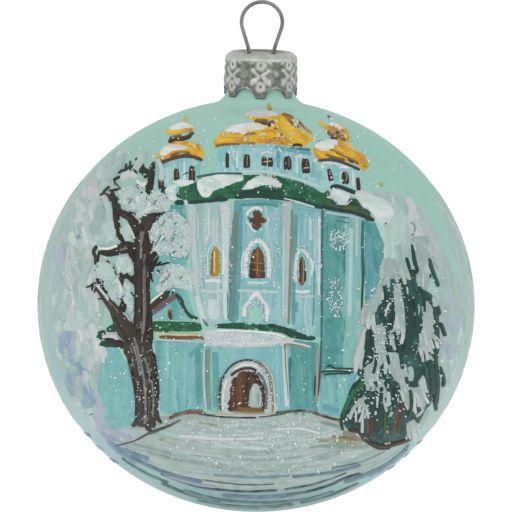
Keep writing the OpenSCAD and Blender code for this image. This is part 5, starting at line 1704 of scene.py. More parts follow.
for count, length, width, shades, lift in [
    (150, 3.6, 1.1, ["fir", "green_dark", "ink", "fir"], 0.2),
    (110, 3.0, 0.7, ["fir_bright", "fir", "green_dark", "teal_ink"], 0.27),
    (34, 2.2, 0.45, ["green_bright", "fir_bright", "teal_deep"], 0.32),
]:
    fir.hatch(BOUGHS, count, length, width, drooping, shades, lift, 0.08, spread=16)
for path, width, shade in [
    ([(35.8, 14), (36.3, 10), (37.3, 7.4)], 0.7, "fir"),
    ([(39.4, 11.4), (40.4, 8), (41.9, 4)], 0.7, "fir_bright"), ([(34.4, 11), (35.3, 8)], 0.6, "fir"),
    ([(38.4, 13), (39, 9), (40, 6)], 0.6, "fir"),
    ([(25.4, -16.4), (23.4, -18.8), (21.4, -21.8)], 0.9, "green_grass"),
    ([(22.6, -19), (20.9, -22.6), (19.8, -25.4)], 0.8, "green_bright"),
    ([(20.4, -23.6), (19.6, -26.6), (19.9, -29)], 0.7, "green"),
    ([(26.4, -25), (26.2, -28), (26.3, -31)], 1.4, "brown"),
    ([(33.6, -21.4), (33, -25), (32, -29.4)], 1.3, "brown"),
    ([(25.6, -26), (25.4, -29.6)], 0.6, "umber"),
    ([(32.6, -23), (31.8, -27), (31, -30.4)], 0.5, "umber"),
    ([(29.6, -24), (29.4, -28), (29.6, -31)], 0.5, "moss"),
    ([(23, -24.6), (22.6, -27.4)], 0.5, "umber"),
    ([(21, -28.5), (23.6, -29.2), (25, -31), (27, -32.1), (29.4, -32.5), (32, -31.9), (34.6, -31.1),
      (35.8, -30.2)], 0.8, "brown"),
    ([(25.2, -31.4), (28, -32.8), (31, -32.8)], 0.5, "ink_brown"),
    ([(29.2, -31.8), (31, -31.4)], 0.5, "cream"),
    ([(24.6, -12), (23.8, -14.6), (23.6, -16.4)], 0.7, "fir"),
    ([(25.4, -6), (24.6, -8.6)], 0.7, "fir_bright"), ([(26.8, -1), (25.9, -3.4)], 0.7, "fir"),
    ([(42, -14), (43, -17), (42.8, -19)], 0.8, "fir"), ([(41, -22), (41.4, -24.6)], 0.8, "fir"),
    ([(42.2, -4), (43.4, -7.4)], 0.8, "fir"),
]:
    fir.stroke(path, width, shade, 0.34, 0.08, tips=(0.5, 0.15))
for path, width, shade in [
    # dark boughs that hang clear of the snow
    ([(33.8, 3), (34.4, -1), (34.6, -6), (34.2, -11)], 1.3, "fir"),
    ([(35.2, 1), (35.6, -4), (35.2, -9)], 1.0, "green_dark"),
    ([(32.6, -9), (33, -12), (33.4, -15)], 1.0, "fir"),
    ([(39.4, -12), (40.2, -16), (40.4, -21)], 1.4, "fir"),
    ([(41, -13), (41.4, -18), (41, -23)], 1.1, "green_dark"),
    ([(38.8, -14), (38.9, -17)], 0.8, "teal_ink"),
    ([(25.4, -5.4), (25.4, -8), (25, -11)], 1.3, "fir"),
    ([(26.6, -6), (26.4, -9.4)], 0.9, "green_dark"),
    ([(36.2, 2), (36.6, -2), (36.4, -6)], 0.8, "fir"),
    ([(31, 1.4), (31.4, -2), (31, -5)], 0.7, "green_dark"),
    ([(27.4, -10.6), (27.2, -13.6), (26.6, -16)], 0.8, "fir"),
    ([(29.8, -11), (30.4, -14)], 0.8, "green_dark"),
    ([(32, -18.4), (31.8, -21.6), (31, -25)], 1.2, "fir"),
    ([(28.6, -18.4), (28.4, -22), (27.8, -25.6)], 1.0, "green_dark"),
    ([(35, -19), (35.4, -22), (35, -25.6)], 0.9, "fir"), ([(38.4, 2), (38.4, -2)], 0.6, "fir"),
]:
    fir.stroke(path, width, shade, 0.5, 0.06, tips=(0.5, 0.15))
fir.finish("fir_boughs", leaf_paint, 0.6)

# %% Snow on the boughs
fir_snow = Paint(front, 109)


def drooping_snow(p):
    """Snow hangs on the boughs almost straight down wherever it is."""
    return -84 + (p[0] - 33) * 1.6


for outline, count in [
    ([(24.4, -1), (25.4, 1), (27, 2.4), (28.2, 4.9), (29.2, 4), (29.2, 1.4), (28.2, -0.6), (27.4, -2),
      (26, -3), (25, -5), (24.2, -3.4)], 16),
    ([(29.4, 6), (29, 8), (29.8, 10.4), (31.8, 10.4), (32.3, 8), (31.4, 6.2), (30.4, 5.6)], 10),
    ([(32.8, 10.2), (34.5, 9.6), (34.8, 7.4), (33.6, 5.8), (32.8, 7.4)], 7),
    ([(35.5, 15), (37.6, 16), (40, 15), (40.8, 12), (39.7, 10), (39.9, 6.4), (39.4, 3.4), (38.6, 3),
      (38.1, 6), (37.4, 8.8), (36.5, 10.6), (36, 13)], 22),
    ([(31, 4.6), (33, 5), (33.9, 2), (34.3, -2), (33.9, -5), (32.8, -7.4), (32.2, -10), (31.6, -6.4),
      (30.2, -9), (30, -6.2), (31.6, -4.2), (30.8, -1.6), (30.7, 1), (31.5, 3)], 30),
    ([(38.1, 1), (40, 0.6), (40.9, -2), (40.9, -5), (41.8, -9), (42.1, -11.8), (41, -9.8), (40.2, -8),
      (39.8, -10.4), (38.7, -12), (38, -10), (35.6, -12.8), (36.8, -9), (37.6, -5), (37.8, -2)], 34),
    ([(27, -4.4), (29.8, -5), (30, -7.5), (29.8, -10.4), (32, -10.4), (33.6, -11.5), (34.6, -14),
      (35.1, -16.4), (33.5, -17), (31.8, -17.8), (30, -15), (29.2, -13.4), (28.2, -15.4),
      (27.8, -17.6), (26, -17.8), (24.4, -17), (24.8, -13.6), (26.8, -12), (26.6, -8)], 50),
    ([(33.4, -17), (34.6, -18), (36.4, -18.6), (37, -17), (38.1, -15.2), (38.4, -16.8), (37.7, -18.3),
      (38.8, -19.2), (39.1, -22), (38.7, -24.2), (37, -25.2), (38, -23.6), (36.4, -20.6),
      (35.6, -22.4), (34, -23.2), (33.2, -21.2), (32.4, -20), (32.9, -18)], 30),
    ([(34, -27), (36, -25.9), (37.5, -27.6), (36, -29.8), (34.6, -28.8)], 8),
    ([(27.7, -17.6), (29, -16.9), (30.2, -19), (30.7, -21.2), (29.4, -21.6), (28.6, -22.8),
      (27.4, -20)], 10),
    ([(19.6, -27.2), (21, -24.5), (23, -21.5), (25, -20.5), (25.9, -21.4), (25, -22.2), (26.4, -22.8),
      (25.4, -24), (24, -25), (23, -26.9), (22.8, -25.5), (23.8, -23.6), (22.8, -24.2),
      (21.4, -26)], 12),
]:
    fir_snow.fill(outline, ["mint_grey", "snow_grey", "frost", "mint_grey"], lift=0.3, thick=0.1,
                  lumps=0.12, grain=0.6, way=-78, patch=(0.12, 0.9))
    fir_snow.hatch(outline, round(count * 0.65), 3.8, 0.75, drooping_snow,
                   ["frost_pale", "snow_grey", "snow", "snow_pink"], 0.4, 0.06,
                   spread=9, spill=True)
for path, width, shade in [
    ([(25, -5), (24.2, -8.6), (23.2, -12), (22.6, -16)], [0.9, 1.4, 1.6, 0.8], "snow_pink"),
    ([(24.8, -9), (24, -12.6), (23.8, -15)], 0.8, "frost_pale"),
    ([(37.2, 7.2), (37.1, 5.9), (37.3, 4.5)], 1.3, "snow_grey"),
    ([(40.4, 2), (40.9, 0.6), (40.9, -1)], 1.3, "frost_pale"),
    ([(36.9, 0.2), (36.8, -1.4), (36.4, -3)], 1.2, "snow_grey"),
    ([(34.9, -13.8), (35.4, -15.4), (35.2, -17.8)], 1.3, "frost"),
    ([(32.2, -20.4), (31.4, -23.4), (30.4, -25.8)], 0.8, "frost"),
    ([(36.2, -25.6), (37.4, -24.8), (38.4, -23.6)], 0.6, "frost_pale"),
    ([(24.4, -18.2), (25.4, -17.6), (25.6, -20)], 1.2, "snow_grey"),
    ([(27.4, -24), (27.2, -25.4)], 0.5, "snow_white"),
    ([(28.9, 5.6), (28.7, 7.6), (29.4, 10.6)], 1.0, "frost_pale"),
    ([(40.6, -18), (41.6, -14), (42.2, -9)], 0.5, "frost"),
    ([(29.6, -28.6), (30.4, -29.4)], 0.5, "snow_grey"), ([(34.4, 4.4), (34.6, 2)], 0.4, "mint_pale"),
    ([(36.2, -24.6), (37, -26)], 0.5, "fir"),
]:
    fir_snow.stroke(path, width, shade, 0.42, 0.08, tips=(0.6, 0.25))
fir_snow.finish("fir_snow", snow_paint, 0.69)

# %% [markdown]
# ## Falling snow and glitter
#
# Last, the whole picture is flicked with thinned white for falling snow, and glitter is dusted
# on where the varnish is still wet: round the windows, on the roofs, over the tree and along
# the path. A flake of glitter is a tiny six-sided grain of foil. Most are white and a few are
# pink, blue or lilac.

# %% Flecks of snow
flecks = Paint(front, 113)
for outline, count, size in [
    ([(-44, 10), (-30, 38), (-6, 43.6), (6, 43.6), (30, 38), (44, 10), (44, -10), (34, -32), (0, -41),
      (-34, -32), (-44, -10)], 380, 0.13),
    ([(-18, 24), (14, 23), (16, -24), (-20, -24)], 130, 0.2),
    ([(-33, 22), (-20, 24), (-14, 6), (-22, -26), (-30, -26), (-37, 4)], 130, 0.2),
    ([(-12, 42.6), (12, 43), (26, 36), (24, 24), (-24, 24), (-24, 40)], 110, 0.19),
    ([(24, 6), (42, 6), (40, -28), (20, -30)], 110, 0.22),
    ([(-20, -26), (20, -27), (18, -38), (-20, -36)], 60, 0.22),
]:
    flecks.dots(outline, count, size, ["snow_white", "snow_white", "snow_pink"], 0.42, 6)
flecks.finish("snow_flecks", snow_paint)

# %% Glitter
glitter_foil, tree, shader = new_material("glitter_foil")
own = node(tree, "ShaderNodeAttribute", attribute_name="pigment")
foil = group_node(tree, mottle, {"Colour": own.outputs["Color"], "Second": (*PIGMENT["slate"], 1),
                                 "Size mm": 0.8, "Amount": 0.15})
tree.links.new(foil.outputs["Colour"], shader.inputs["Base Color"])
dulled = node(tree, "ShaderNodeMapRange", {0: foil.outputs["Height"], 3: 0.1, 4: 0.45})
tree.links.new(dulled.outputs[0], shader.inputs["Roughness"])
shader.inputs["Metallic"].default_value = 0.3

BRIGHT = ["snow_white", "snow_white", "snow_white", "snow_white", "snow", "snow_pink", "haze",
          "lilac_pale"]
glitter = Paint(front, 127)
for outline, count, base in [
    ([(17, 13.4), (17.4, 17), (19, 17.4), (21, 16.4), (21, 13), (19, 12.4)], 95, 0.2),
    ([(16.8, 4), (17.4, 6), (19, 6), (20, 3), (20, -1.6), (18, -3), (16.6, -1)], 120, 0.2),
    ([(-11, -5.9), (0, -6.2), (8, -7.8), (5, -9.4), (-6, -9.9), (-11.6, -8.8)], 260, 0.24),
    ([(-3, 26.3), (-1.6, 28.4), (2, 29.8), (5.8, 28), (5, 26.6), (1, 27)], 90, 0.36),
    ([(-22.5, 20), (-20, 21), (-16.4, 20), (-14.9, 15), (-16, 11), (-20.5, 11.4), (-23.8, 12.5),
      (-24, 17)], 230, 0.56), ([(-24.6, 26), (-21.5, 25), (-19.6, 22.4), (-24, 21.4)], 70, 0.5),
    ([(-21, 9.2), (-15.5, 8.3), (-13.6, 4.5), (-18, 3.9), (-22.6, 3)], 140, 0.56),
    ([(-31, 26), (-26, 27), (-24.6, 20), (-30, 21.6)], 60, 0.5),
    ([(-3.4, 6), (-3, 13), (0.4, 15.4), (3.2, 13), (3.5, 6), (2.6, 6), (1.6, 13), (-1.2, 13),
      (-2.2, 6)], 120, 0.3),
    ([(8.6, 5), (8.6, 12), (11, 13.4), (13.2, 10.4), (12.4, 9), (10.8, 12), (9.4, 10), (9.4, 5)], 80,
     0.3), ([(-8, 22), (-5.8, 22), (-5.6, 2), (-8, 2)], 130, 0.2),
    ([(-12.4, 14), (-11, 14), (-11, 5), (-12.6, 5)], 40, 0.24),
    ([(-2.6, -3.6), (0, 3), (2.8, -3.4), (2.2, -4), (0, 0.4), (-2, -4)], 70, 0.3),
    ([(-8.4, -24.4), (-7.6, -16.8), (-3, -12.6), (1.6, -13.4), (4, -19), (4.4, -24.6), (3, -24.6),
      (1, -15), (-3, -14), (-6.6, -17), (-7, -24)], 110, 0.34),
    ([(-14, -27), (4, -26.2), (16, -27.4), (16, -31), (0, -33.6), (-14, -31)], 260, 0.2),
    ([(-12, -34), (12, -34), (12, -38), (-10, -38)], 60, 0.2),
    ([(-9, 37), (-2, 37), (12, 37), (6, 42), (-6, 41)], 50, 0.4),
    ([(24, -12), (33, -12), (34, -24), (24, -22), (22, -28)], 120, 0.62),
    ([(26.6, -4.6), (29.8, -5), (30, -9), (28, -13), (26.6, -11)], 60, 0.62),
    ([(30, 4), (34, 3), (34, -6), (31, -10)], 50, 0.62),
    ([(4, 22), (5.4, 22), (5.4, -4), (4, -4)], 60, 0.2),
    ([(13, 20), (16, 21), (16, 2), (13, 2)], 50, 0.2),
    ([(16.6, 26), (22, 25), (21, 23), (18, 23.6)], 40, 0.4),
    ([(-34, 1), (-30, 3), (-32, 9), (-37, 8)], 40, 0.5),
    ([(-26, -9), (-23, -9), (-22.4, -27), (-27.4, -27)], 50, 0.46),
]:
    glitter.dots(outline, round(count * 1.3), 0.18, BRIGHT, base, 6)
glitter.finish("glitter", glitter_foil)

# %% [markdown]
# ## The far side
#
# The picture runs on round the ball, more quietly, so that it looks finished from every side:
# the frosted wood thins out behind, with a snowy rise under it, a few firs, a bare sapling, and
# the same bands of ice below.

# %% Far side: wood and rise
wood = Paint(back, 131)
WOOD = [(-46, 14), (-44, 20), (-40, 26), (-34, 22), (-28, 15), (-21, 17), (-15, 10), (-8, 6), (0, 8),
        (7, 5), (14, 9), (20, 16), (27, 14), (33, 22), (39, 27), (44, 20), (46, 14), (47, -8),
        (42, -24), (36, -24), (20, -20), (0, -18), (-20, -20), (-36, -24), (-42, -24), (-47, -8)]
wood.fill(WOOD, ["mint_grey", "frost", "mint_pale", "frost_pale"], 0.02, 0.03, grain=1.8, way=-88,
          lumps=0.04, soft=3.0, patch=(0.06, 0.16))
wood.hatch(WOOD, 200, 9, 2.6, -88, ["mint_pale", "frost", "mint_grey", "frost"], 0.05, 0.02, spread=7)
wood.hatch(WOOD, 260, 6, 1.6, -88, ["frost_pale", "frost", "mint_pale", "frost_pale"], 0.07, 0.03,
           spread=10)
for outline in [[(-44, 2), (-34, 6), (-30, -6), (-42, -12)], [(30, 4), (44, 4), (42, -12), (32, -8)],
                [(-10, -2), (6, -2), (4, -12), (-10, -12)]]:
    wood.hatch(outline, 22, 6, 1.8, -86, ["lilac_pale", "frost", "haze"], 0.1, 0.03, spread=6)
wood.finish("far_wood", snow_paint, 0.88)

# %% Both flanks: the wood carries on round the sides
for easel, side, seed, mirror in [(Easel(90), "right", 163, (1, 1)),
                                  (Easel(270), "left", 167, (-1, 1))]:
    flank = Paint(easel, seed)
    # outlines for the right side, mirrored for the left; the strip is the edge nearest the front
    trees = np.array([(-13, 14), (-12, 20), (-9, 24), (-5, 20), (-1, 24), (4, 19), (9, 25), (14, 21),
                      (19, 17), (20, -6), (18, -22), (0, -23), (-11, -22), (-14, -6)]) * mirror
    land = np.array([(-12, -20), (-6, -21.6), (6, -21), (20, -20), (19, -30), (10, -36), (-8, -36),
                     (-11, -30)]) * mirror
    strip = np.array([(-17, 12), (-12, 16), (-10, 4), (-10, -14), (-13, -23), (-17, -20),
                      (-18, -6)]) * mirror
    flank.fill(strip, ["mint", "mint_grey", "mint"], 0.04, 0.02, grain=1.8, way=-88, lumps=0.04,
               soft=2.0, patch=(0.06, 0.16))
    flank.hatch(strip, 60, 7, 1.8, -88, ["mint_grey", "frost", "mint_grey", "frost"], 0.05, 0.02,
                spread=6)
    flank.fill(trees, ["mint", "mint_grey", "mint"], 0.04, 0.03, grain=1.6, way=-88, lumps=0.04,
               soft=3.0, patch=(0.06, 0.16))
    flank.hatch(trees, 90, 8, 2.0, -88, ["mint_grey", "mint", "mint_grey", "frost"], 0.1, 0.02,
                spread=6)
    flank.hatch(trees, 130, 5.5, 1.5, -86, ["frost_pale", "frost", "mint_pale", "snow_grey"], 0.12,
                0.03, spread=9)
    flank.hatch([(-8, 8), (8, 10), (10, -10), (-8, -12)], 20, 6, 1.6, -86,
                ["lilac_pale", "haze", "frost"], 0.13, 0.03, spread=6)
    flank.fill(land, ["path_grey", "path", "frost"], 0.1, 0.04, grain=1.6, way=0, patch=(0.05, 0.35))
    flank.hatch(land, 90, 7, 1.0, round_the_ball, ["path", "frost_pale", "path_grey", "frost"], 0.14,
                0.03, spread=4)
    for z, shade in [(-38, "arc_blue"), (-40.4, "haze"), (-42.6, "arc_teal")]:
        flank.stroke([(-15, z + 1.9), (-8, z + 0.6), (0, z), (8, z + 0.6), (17, z + 2.4)], 0.8, shade,
                     0.15, 0.03, tips=(0.1, 0.1), columns=5)
    flank.finish("wood_on_the_" + side, snow_paint, 0.88)

rise = Paint(back, 137)
RISE = [(-44, -19), (-38, -21), (-22, -18.4), (-6, -16.4), (8, -17.6), (24, -20.4), (38, -20),
        (44, -19), (42, -26), (32, -35), (16, -40), (0, -41.6), (-16, -40), (-32, -35), (-42, -26)]
rise.fill(RISE, ["path_grey", "path", "frost", "path"], 0.06, 0.05, grain=1.6, way=0,
          patch=(0.05, 0.35))
rise.hatch(RISE, 300, 8, 1.0, round_the_ball, ["path", "frost_pale", "path_grey", "snow_grey", "frost"],
           0.11, 0.035, spread=4)
rise.hatch([(-34, -20), (-6, -17.4), (24, -21), (10, -24), (-20, -23)], 40, 6, 0.7, 2,
           ["snow", "snow_pink"], 0.14, 0.04, spread=4)
rise.finish("far_rise", snow_paint, 0.82)

# %% Far side: firs, sapling and ice
far_firs = Paint(back, 139)
far_snow = Paint(back, 149)
for x, foot, tall, wide in [(-27, -24, 24, 7.5), (-19, -21, 16, 5.2), (25, -23, 20, 6.4),
                            (32.5, -26, 27, 8), (6, -18.4, 11, 3.8)]:
    body = [(x, foot + tall), (x + wide * 0.3, foot + tall * 0.62), (x + wide * 0.5, foot + tall * 0.3),
            (x + wide * 0.56, foot + tall * 0.04),
            (x, foot - 0.8), (x - wide * 0.56, foot + tall * 0.04), (x - wide * 0.5, foot + tall * 0.3),
            (x - wide * 0.3, foot + tall * 0.62)]
    far_firs.fill(body, ["fir", "green_dark", "fir_bright"], 0.12, 0.12, grain=1.0, way=-80, lumps=0.1)
    far_firs.hatch(body, int(tall * 3), 2.6, 0.8, lambda p: -90 + (p[0] - x) * 7,
                   ["fir", "fir_bright", "green_dark"], 0.2, 0.07)
    for k in range(int(tall * 0.9)):
        s, t = far_snow.rng.uniform(-1, 1), far_snow.rng.uniform(0.12, 0.97)
        px, pz = x + s * wide * 0.52 * (1 - t), foot + tall * t
        far_snow.stroke([(px - s * 0.5, pz + 0.9), (px, pz), (px + s * 0.7, pz - 1.6)],
                        1.1 + 0.9 * (1 - t), ["snow", "frost_pale", "snow_white"], 0.4, 0.12,
                        tips=(0.6, 0.2))
far_firs.finish("far_firs", leaf_paint, 0.75)
for p in [(-38, 20), (-30, 14), (37, 21), (30, 12), (-44, 4), (44, 2), (0, 3), (-8, 0), (14, 4)]:
    far_snow.hatch([(p[0] - 3, p[1] - 5), (p[0] - 2.4, p[1] + 3), (p[0] + 2.4, p[1] + 3),
                    (p[0] + 3, p[1] - 5)], 16, 3.6, 1.2, -84, ["snow", "frost_pale", "snow_pink"], 0.12,
                   0.05)
far_snow.dots([(-46, 10), (-30, 36), (0, 45), (30, 36), (46, 10), (40, -26), (0, -40), (-40, -26)], 420,
              0.2, ["snow_white", "snow"], 0.3, 6)
far_snow.finish("far_snow", snow_paint, 0.85)

sapling = Paint(back, 151)
for path, width in [([(-6.6, -19.4), (-6.2, -12), (-6.8, -4), (-6.2, 3), (-5.4, 9)],
                     [2.2, 1.7, 1.4, 1.0, 0.4]), ([(-6.6, -6), (-9, -1), (-10.6, 5)], [1.1, 0.8, 0.3]),
                    ([(-6.6, -2), (-4, 2.4), (-2.4, 7)], [1.0, 0.7, 0.3]),
                    ([(-9, -1.4), (-12, 0.6), (-13.4, 3.6)], [0.7, 0.5, 0.2]),
                    ([(-4.4, 1.6), (-1.6, 2.8), (0.4, 2.2)], [0.6, 0.4, 0.2]),
                    ([(-6.6, 1.6), (-8, 5), (-8.4, 8)], [0.7, 0.5, 0.2])]:
    sapling.stroke(path, width, ["bark_dark", "bark"], 0.2, 0.14, tips=(0.8, 0.3))
sapling.stroke([(-6, -18), (-5.8, -11), (-6.4, -4)], 0.5, "bark_pale", 0.34, 0.06)
sapling.finish("far_sapling", bark_paint, 0.75)

far_ice = Paint(back, 157)
for z, sag, reach, width, shade in [(-37, 3, 30, 0.9, "arc_blue"), (-38.4, 3, 26, 0.5, "arc_ink"),
                                    (-40.4, 2, 22, 0.9, "lilac_pale"), (-41.6, 2, 18, 0.5, "arc_ink"),
                                    (-43, 2, 16, 0.9, "arc_teal"), (-44.6, 1.6, 14, 1.0, "arc_blue"),
                                    (-46, 1, 9, 1.2, "arc_deep"), (-34.6, 4, 26, 0.6, "sand_green")]:
    far_ice.stroke([(-reach, z + sag * reach / 14), (-reach / 2, z + sag * 0.3), (0, z),
                    (reach / 2, z + sag * 0.3), (reach, z + sag * reach / 14)],
                   width, shade, 0.15, 0.04, tips=(0.1, 0.1), columns=5)
far_ice.finish("far_ice_lines", wash, 0.76)

# %% [markdown]
# ## The pressed cap
#
# The cap is stamped from thin tinplate: a dished top, a rounded shoulder and a skirt that ends
# in seven tongues with arches between them. The die leaves one ornament on every tongue: a ring
# above, a cross with knobbed arms, and a ring below. All of it is raised metal here, made by
# pushing a fine net of points outwards. Each point also keeps how far it was raised, so that
# the high parts can be paler than the dark polished ground, as wear and as a painted highlight.
# The same value carries a painted highlight along the shoulder and painted reflections in soft
# upright bands round the skirt. The plate and the lining have no ornament, so each counts as
# evenly proud; the plate's top is set below the hollows, a painted shade that keeps it dark. The
# ornament's measures are in millimetres: sideways from the middle of its tongue, and upwards from
# the frame's origin.

# %% Measures of the cap
cap_low, cap_high = (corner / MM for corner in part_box("cap"))
TONGUES, AROUND = 7, 252
PLATE, DISH, DISH_R, DISH_EDGE, SHOULDER = 0.25, 0.35, 4.6, 1.1, 1.5
FLARE, ARCH_R, ARCH_H, HOLE_R = 0.35, 2.55, 2.15, 0.75
HEM_DROP, HOLE_POINTS, STAMP_DEPTH, DENT_DEPTH = 0.3, 24, 0.26, 0.08
# the plate's top is set below the hollows, a painted shade that keeps it darker than the skirt
TOP_PAINTED_SHADE, UNDER_PROUD, LINING_PROUD = -0.15, 0.1, 0.35
rim_z, hem_z = cap_high.z, cap_low.z - HEM_DROP
skirt_r = cap_high.x - FLARE
wire_x = 2.7


def knob(u, z, at_u, at_z, ru, rz):
    """1 inside an oval, 0 outside, with a soft edge."""
    d = np.hypot((u - at_u) / ru, (z - at_z) / rz)
    return 1 / (1 + np.exp((d - 1) * 9))


def bar(u, z, a, b, width):
    """1 along the line from a to b, 0 away from it."""
    a, b = np.array(a), np.array(b)
    t = np.clip(((u - a[0]) * (b - a)[0] + (z - a[1]) * (b - a)[1]) / ((b - a) @ (b - a)), 0, 1)
    d = np.hypot(u - a[0] - t * (b - a)[0], z - a[1] - t * (b - a)[1])
    return 1 / (1 + np.exp((d / (width / 2) - 1) * 4))


def stamped(angle, z):
    """How far the die raised the metal, from 0 to 1, at an angle and a height."""
    turn = 2 * np.pi / TONGUES
    u = ((angle + np.pi / 2 + turn / 2) % turn - turn / 2) * skirt_r
    parts = [knob(u, z, 0, -13.3, 1.2, 1.25) - knob(u, z, 0, -13.3, 0.36, 0.42),
             knob(u, z, 0, -18.2, 1.05, 1.3) - knob(u, z, 0, -18.2, 0.3, 0.4)]
    for s in (-1, 1):
        parts += [bar(u, z, (s * 1.65, -14.6), (s * 0.35, -15.8), 0.7),
                  bar(u, z, (s * 0.35, -15.8), (s * 1.9, -17.5), 0.85),
                  knob(u, z, s * 1.75, -14.5, 0.55, 0.5), knob(u, z, s * 1.5, -16.9, 0.85, 0.6),
                  bar(u, z, (s * 2.2, -12.9), (s * 1.3, -12.2), 0.5),
                  0.45 * knob(u, z, s * 3.4, -15.2, 0.5, 0.6),
                  0.6 * bar(u, z, (s * 2.0, -19.2), (s * 3.4, -18.3), 0.45)]
    roll = np.exp(-(((z + 12.1) / 0.5) ** 2))
    return np.clip(np.maximum(0.85 * np.maximum.reduce(parts), roll), 0, 1)


# %% Build the cap
angle = -np.pi / 2 + np.arange(AROUND) * 2 * np.pi / AROUND
arc = ((angle + np.pi / 2) % (2 * np.pi / TONGUES) - np.pi / TONGUES) * skirt_r
edge_z = hem_z + np.maximum(0, ARCH_H - ARCH_R + np.sqrt(np.maximum(0, ARCH_R**2 - arc**2)))
rounding = np.radians(np.linspace(0, 90, 9))
flat_r = skirt_r - SHOULDER


def plate_height(r):
    """The height of the cap's top, which is dished inside a raised edge."""
    return rim_z - DISH * (1 + np.cos(np.pi * np.clip((r - DISH_R) / DISH_EDGE, 0, 1))) / 2


def skirt_rows(inset, count):
    """Rows of points from the flat top over the shoulder to the hem."""
    rows = [(flat_r + (SHOULDER - inset) * math.sin(t),
             rim_z - SHOULDER + (SHOULDER - inset) * math.cos(t)) for t in rounding]
    out = [np.stack([r * np.cos(angle), r * np.sin(angle), np.full(AROUND, z)], 1) for r, z in rows]
    for k in range(1, count + 1):
        z = rim_z - SHOULDER + (edge_z - rim_z + SHOULDER) * k / count
        r = skirt_r - inset + FLARE * (rim_z - SHOULDER - z) / (rim_z - SHOULDER - hem_z)
        out.append(np.stack([r * np.cos(angle), r * np.sin(angle), z], 1))
    return np.array(out)


shell, lining = skirt_rows(0, 42), skirt_rows(PLATE, 10)
turned = np.arctan2(shell[..., 1], shell[..., 0])
raised = stamped(turned, shell[..., 2]) * np.clip((rim_z - 0.25 - shell[..., 2]) / 0.6, 0, 1)
dents = np.array([[noise.noise(p * 0.35) + 0.4 * noise.noise(p * 1.3) for p in row] for row in shell])
push = STAMP_DEPTH * raised + DENT_DEPTH * dents * np.clip((rim_z - shell[..., 2]) / 1.2, 0, 1)
shell[..., 0] += push * np.cos(turned)
shell[..., 1] += push * np.sin(turned)

ring = shell[0, :, :2]
hole_turn = np.arange(HOLE_POINTS) * 2 * math.pi / HOLE_POINTS
holes = [np.array([(s * wire_x + HOLE_R * math.cos(t), HOLE_R * math.sin(t)) for t in hole_turn])
         for s in (-1, 1)]


def from_hole(x, y):
    """How far a place on the plate is from the middle of the nearer hole."""
    return min(math.hypot(x - s * wire_x, y) for s in (-1, 1))


net_steps = np.arange(-6, 6.1, 0.4)
net = np.array([(x, y) for x in net_steps for y in net_steps
                if math.hypot(x, y) < flat_r - 0.3 and from_hole(x, y) > HOLE_R + 0.2])
flat = np.vstack([ring, *holes, net])
loops = [(i, (i + 1) % AROUND) for i in range(AROUND)]
for h in range(2):
    a = AROUND + HOLE_POINTS * h
    loops += [(a + i, a + (i + 1) % HOLE_POINTS) for i in range(HOLE_POINTS)]
top, _, tops, *_ = geometry.delaunay_2d_cdt([Vector(p) for p in flat], loops, [], 1, 1e-6)
top = np.array([v[:] for v in top])
assert len(top) == len(flat), "the plate's points stay in order"
tops = [f for f in tops if from_hole(*top[list(f)].mean(0)) > HOLE_R * 0.9]
height = plate_height(np.hypot(*top.T))
n, m = len(top), AROUND
points = np.vstack([np.column_stack([top, height]), np.column_stack([top, height - PLATE]),
                    shell[1:].reshape(-1, 3), lining[1:].reshape(-1, 3)])
points[n:n + m, :2] = lining[0, :, :2]
faces = [tuple(f) for f in tops] + [tuple(i + n for i in reversed(f)) for f in tops]
for h in range(2):
    a = m + HOLE_POINTS * h
    faces += [(a + i, a + (i + 1) % HOLE_POINTS, n + a + (i + 1) % HOLE_POINTS, n + a + i)
              for i in range(HOLE_POINTS)]
rows = {"shell": [0] + [2 * n + m * i for i in range(len(shell) - 1)],
        "lining": [n] + [2 * n + m * (len(shell) - 1 + i) for i in range(len(lining) - 1)]}
for side, order in (("shell", 1), ("lining", -1)):
    for a, b in zip(rows[side][:-1], rows[side][1:]):
        faces += [(a + i, b + i, b + (i + 1) % m, a + (i + 1) % m)[::order] for i in range(m)]
a, b = rows["shell"][-1], rows["lining"][-1]
faces += [(a + i, b + i, b + (i + 1) % m, a + (i + 1) % m) for i in range(m)]
print("cap points:", len(points))

# %% [markdown]
# Bare metal wears where it is touched. The third shared effect mixes a pale tone into a dark
# one by the value each point keeps: how far it stands proud, and on the cap also a painted
# highlight on the shoulder and the ornament, painted reflections in upright bands and painted
# shade on the plate, broken up by fine noise so that the change is ragged.
# The cap and the wire both use it. The plate is satin, greyer in its hollows, with an olive
# bloom of old varnish in a few patches.

# %% Group: proud wear and painted sheen, and the two metals
proud_wear_and_sheen, enter, leave = new_group(
    "Proud wear",
    [("Hollow", "Color", (0.1, 0.1, 0.1, 1)), ("Proud", "Color", (0.5, 0.5, 0.5, 1)),
     ("Grain mm", "Float", 0.6)],
    [("Colour", "Color"), ("Mask", "Float"), ("Height", "Float")],
)
relief_at = node(proud_wear_and_sheen, "ShaderNodeAttribute", attribute_name="relief")
place = node(proud_wear_and_sheen, "ShaderNodeTexCoord")
per_metre = math_node(proud_wear_and_sheen, "DIVIDE", 1 / MM, enter.outputs["Grain mm"])
grain = node(proud_wear_and_sheen, "ShaderNodeTexNoise", {"Vector": place.outputs["Object"], "Scale": per_metre,
                                          "Detail": 4.0, "Roughness": 0.65})
ragged = math_node(proud_wear_and_sheen, "MULTIPLY_ADD", math_node(proud_wear_and_sheen, "SUBTRACT", grain.outputs[0], 0.5), 1.1,
                   relief_at.outputs["Fac"])
proud = node(proud_wear_and_sheen, "ShaderNodeMapRange", {0: ragged, 1: 0.05, 2: 0.85})
mixed = node(proud_wear_and_sheen, "ShaderNodeMix", {0: proud.outputs[0], 6: enter.outputs["Hollow"],
                                     7: enter.outputs["Proud"]}, data_type="RGBA")
proud_wear_and_sheen.links.new(mixed.outputs[2], leave.inputs["Colour"])
proud_wear_and_sheen.links.new(proud.outputs[0], leave.inputs["Mask"])
proud_wear_and_sheen.links.new(grain.outputs[0], leave.inputs["Height"])


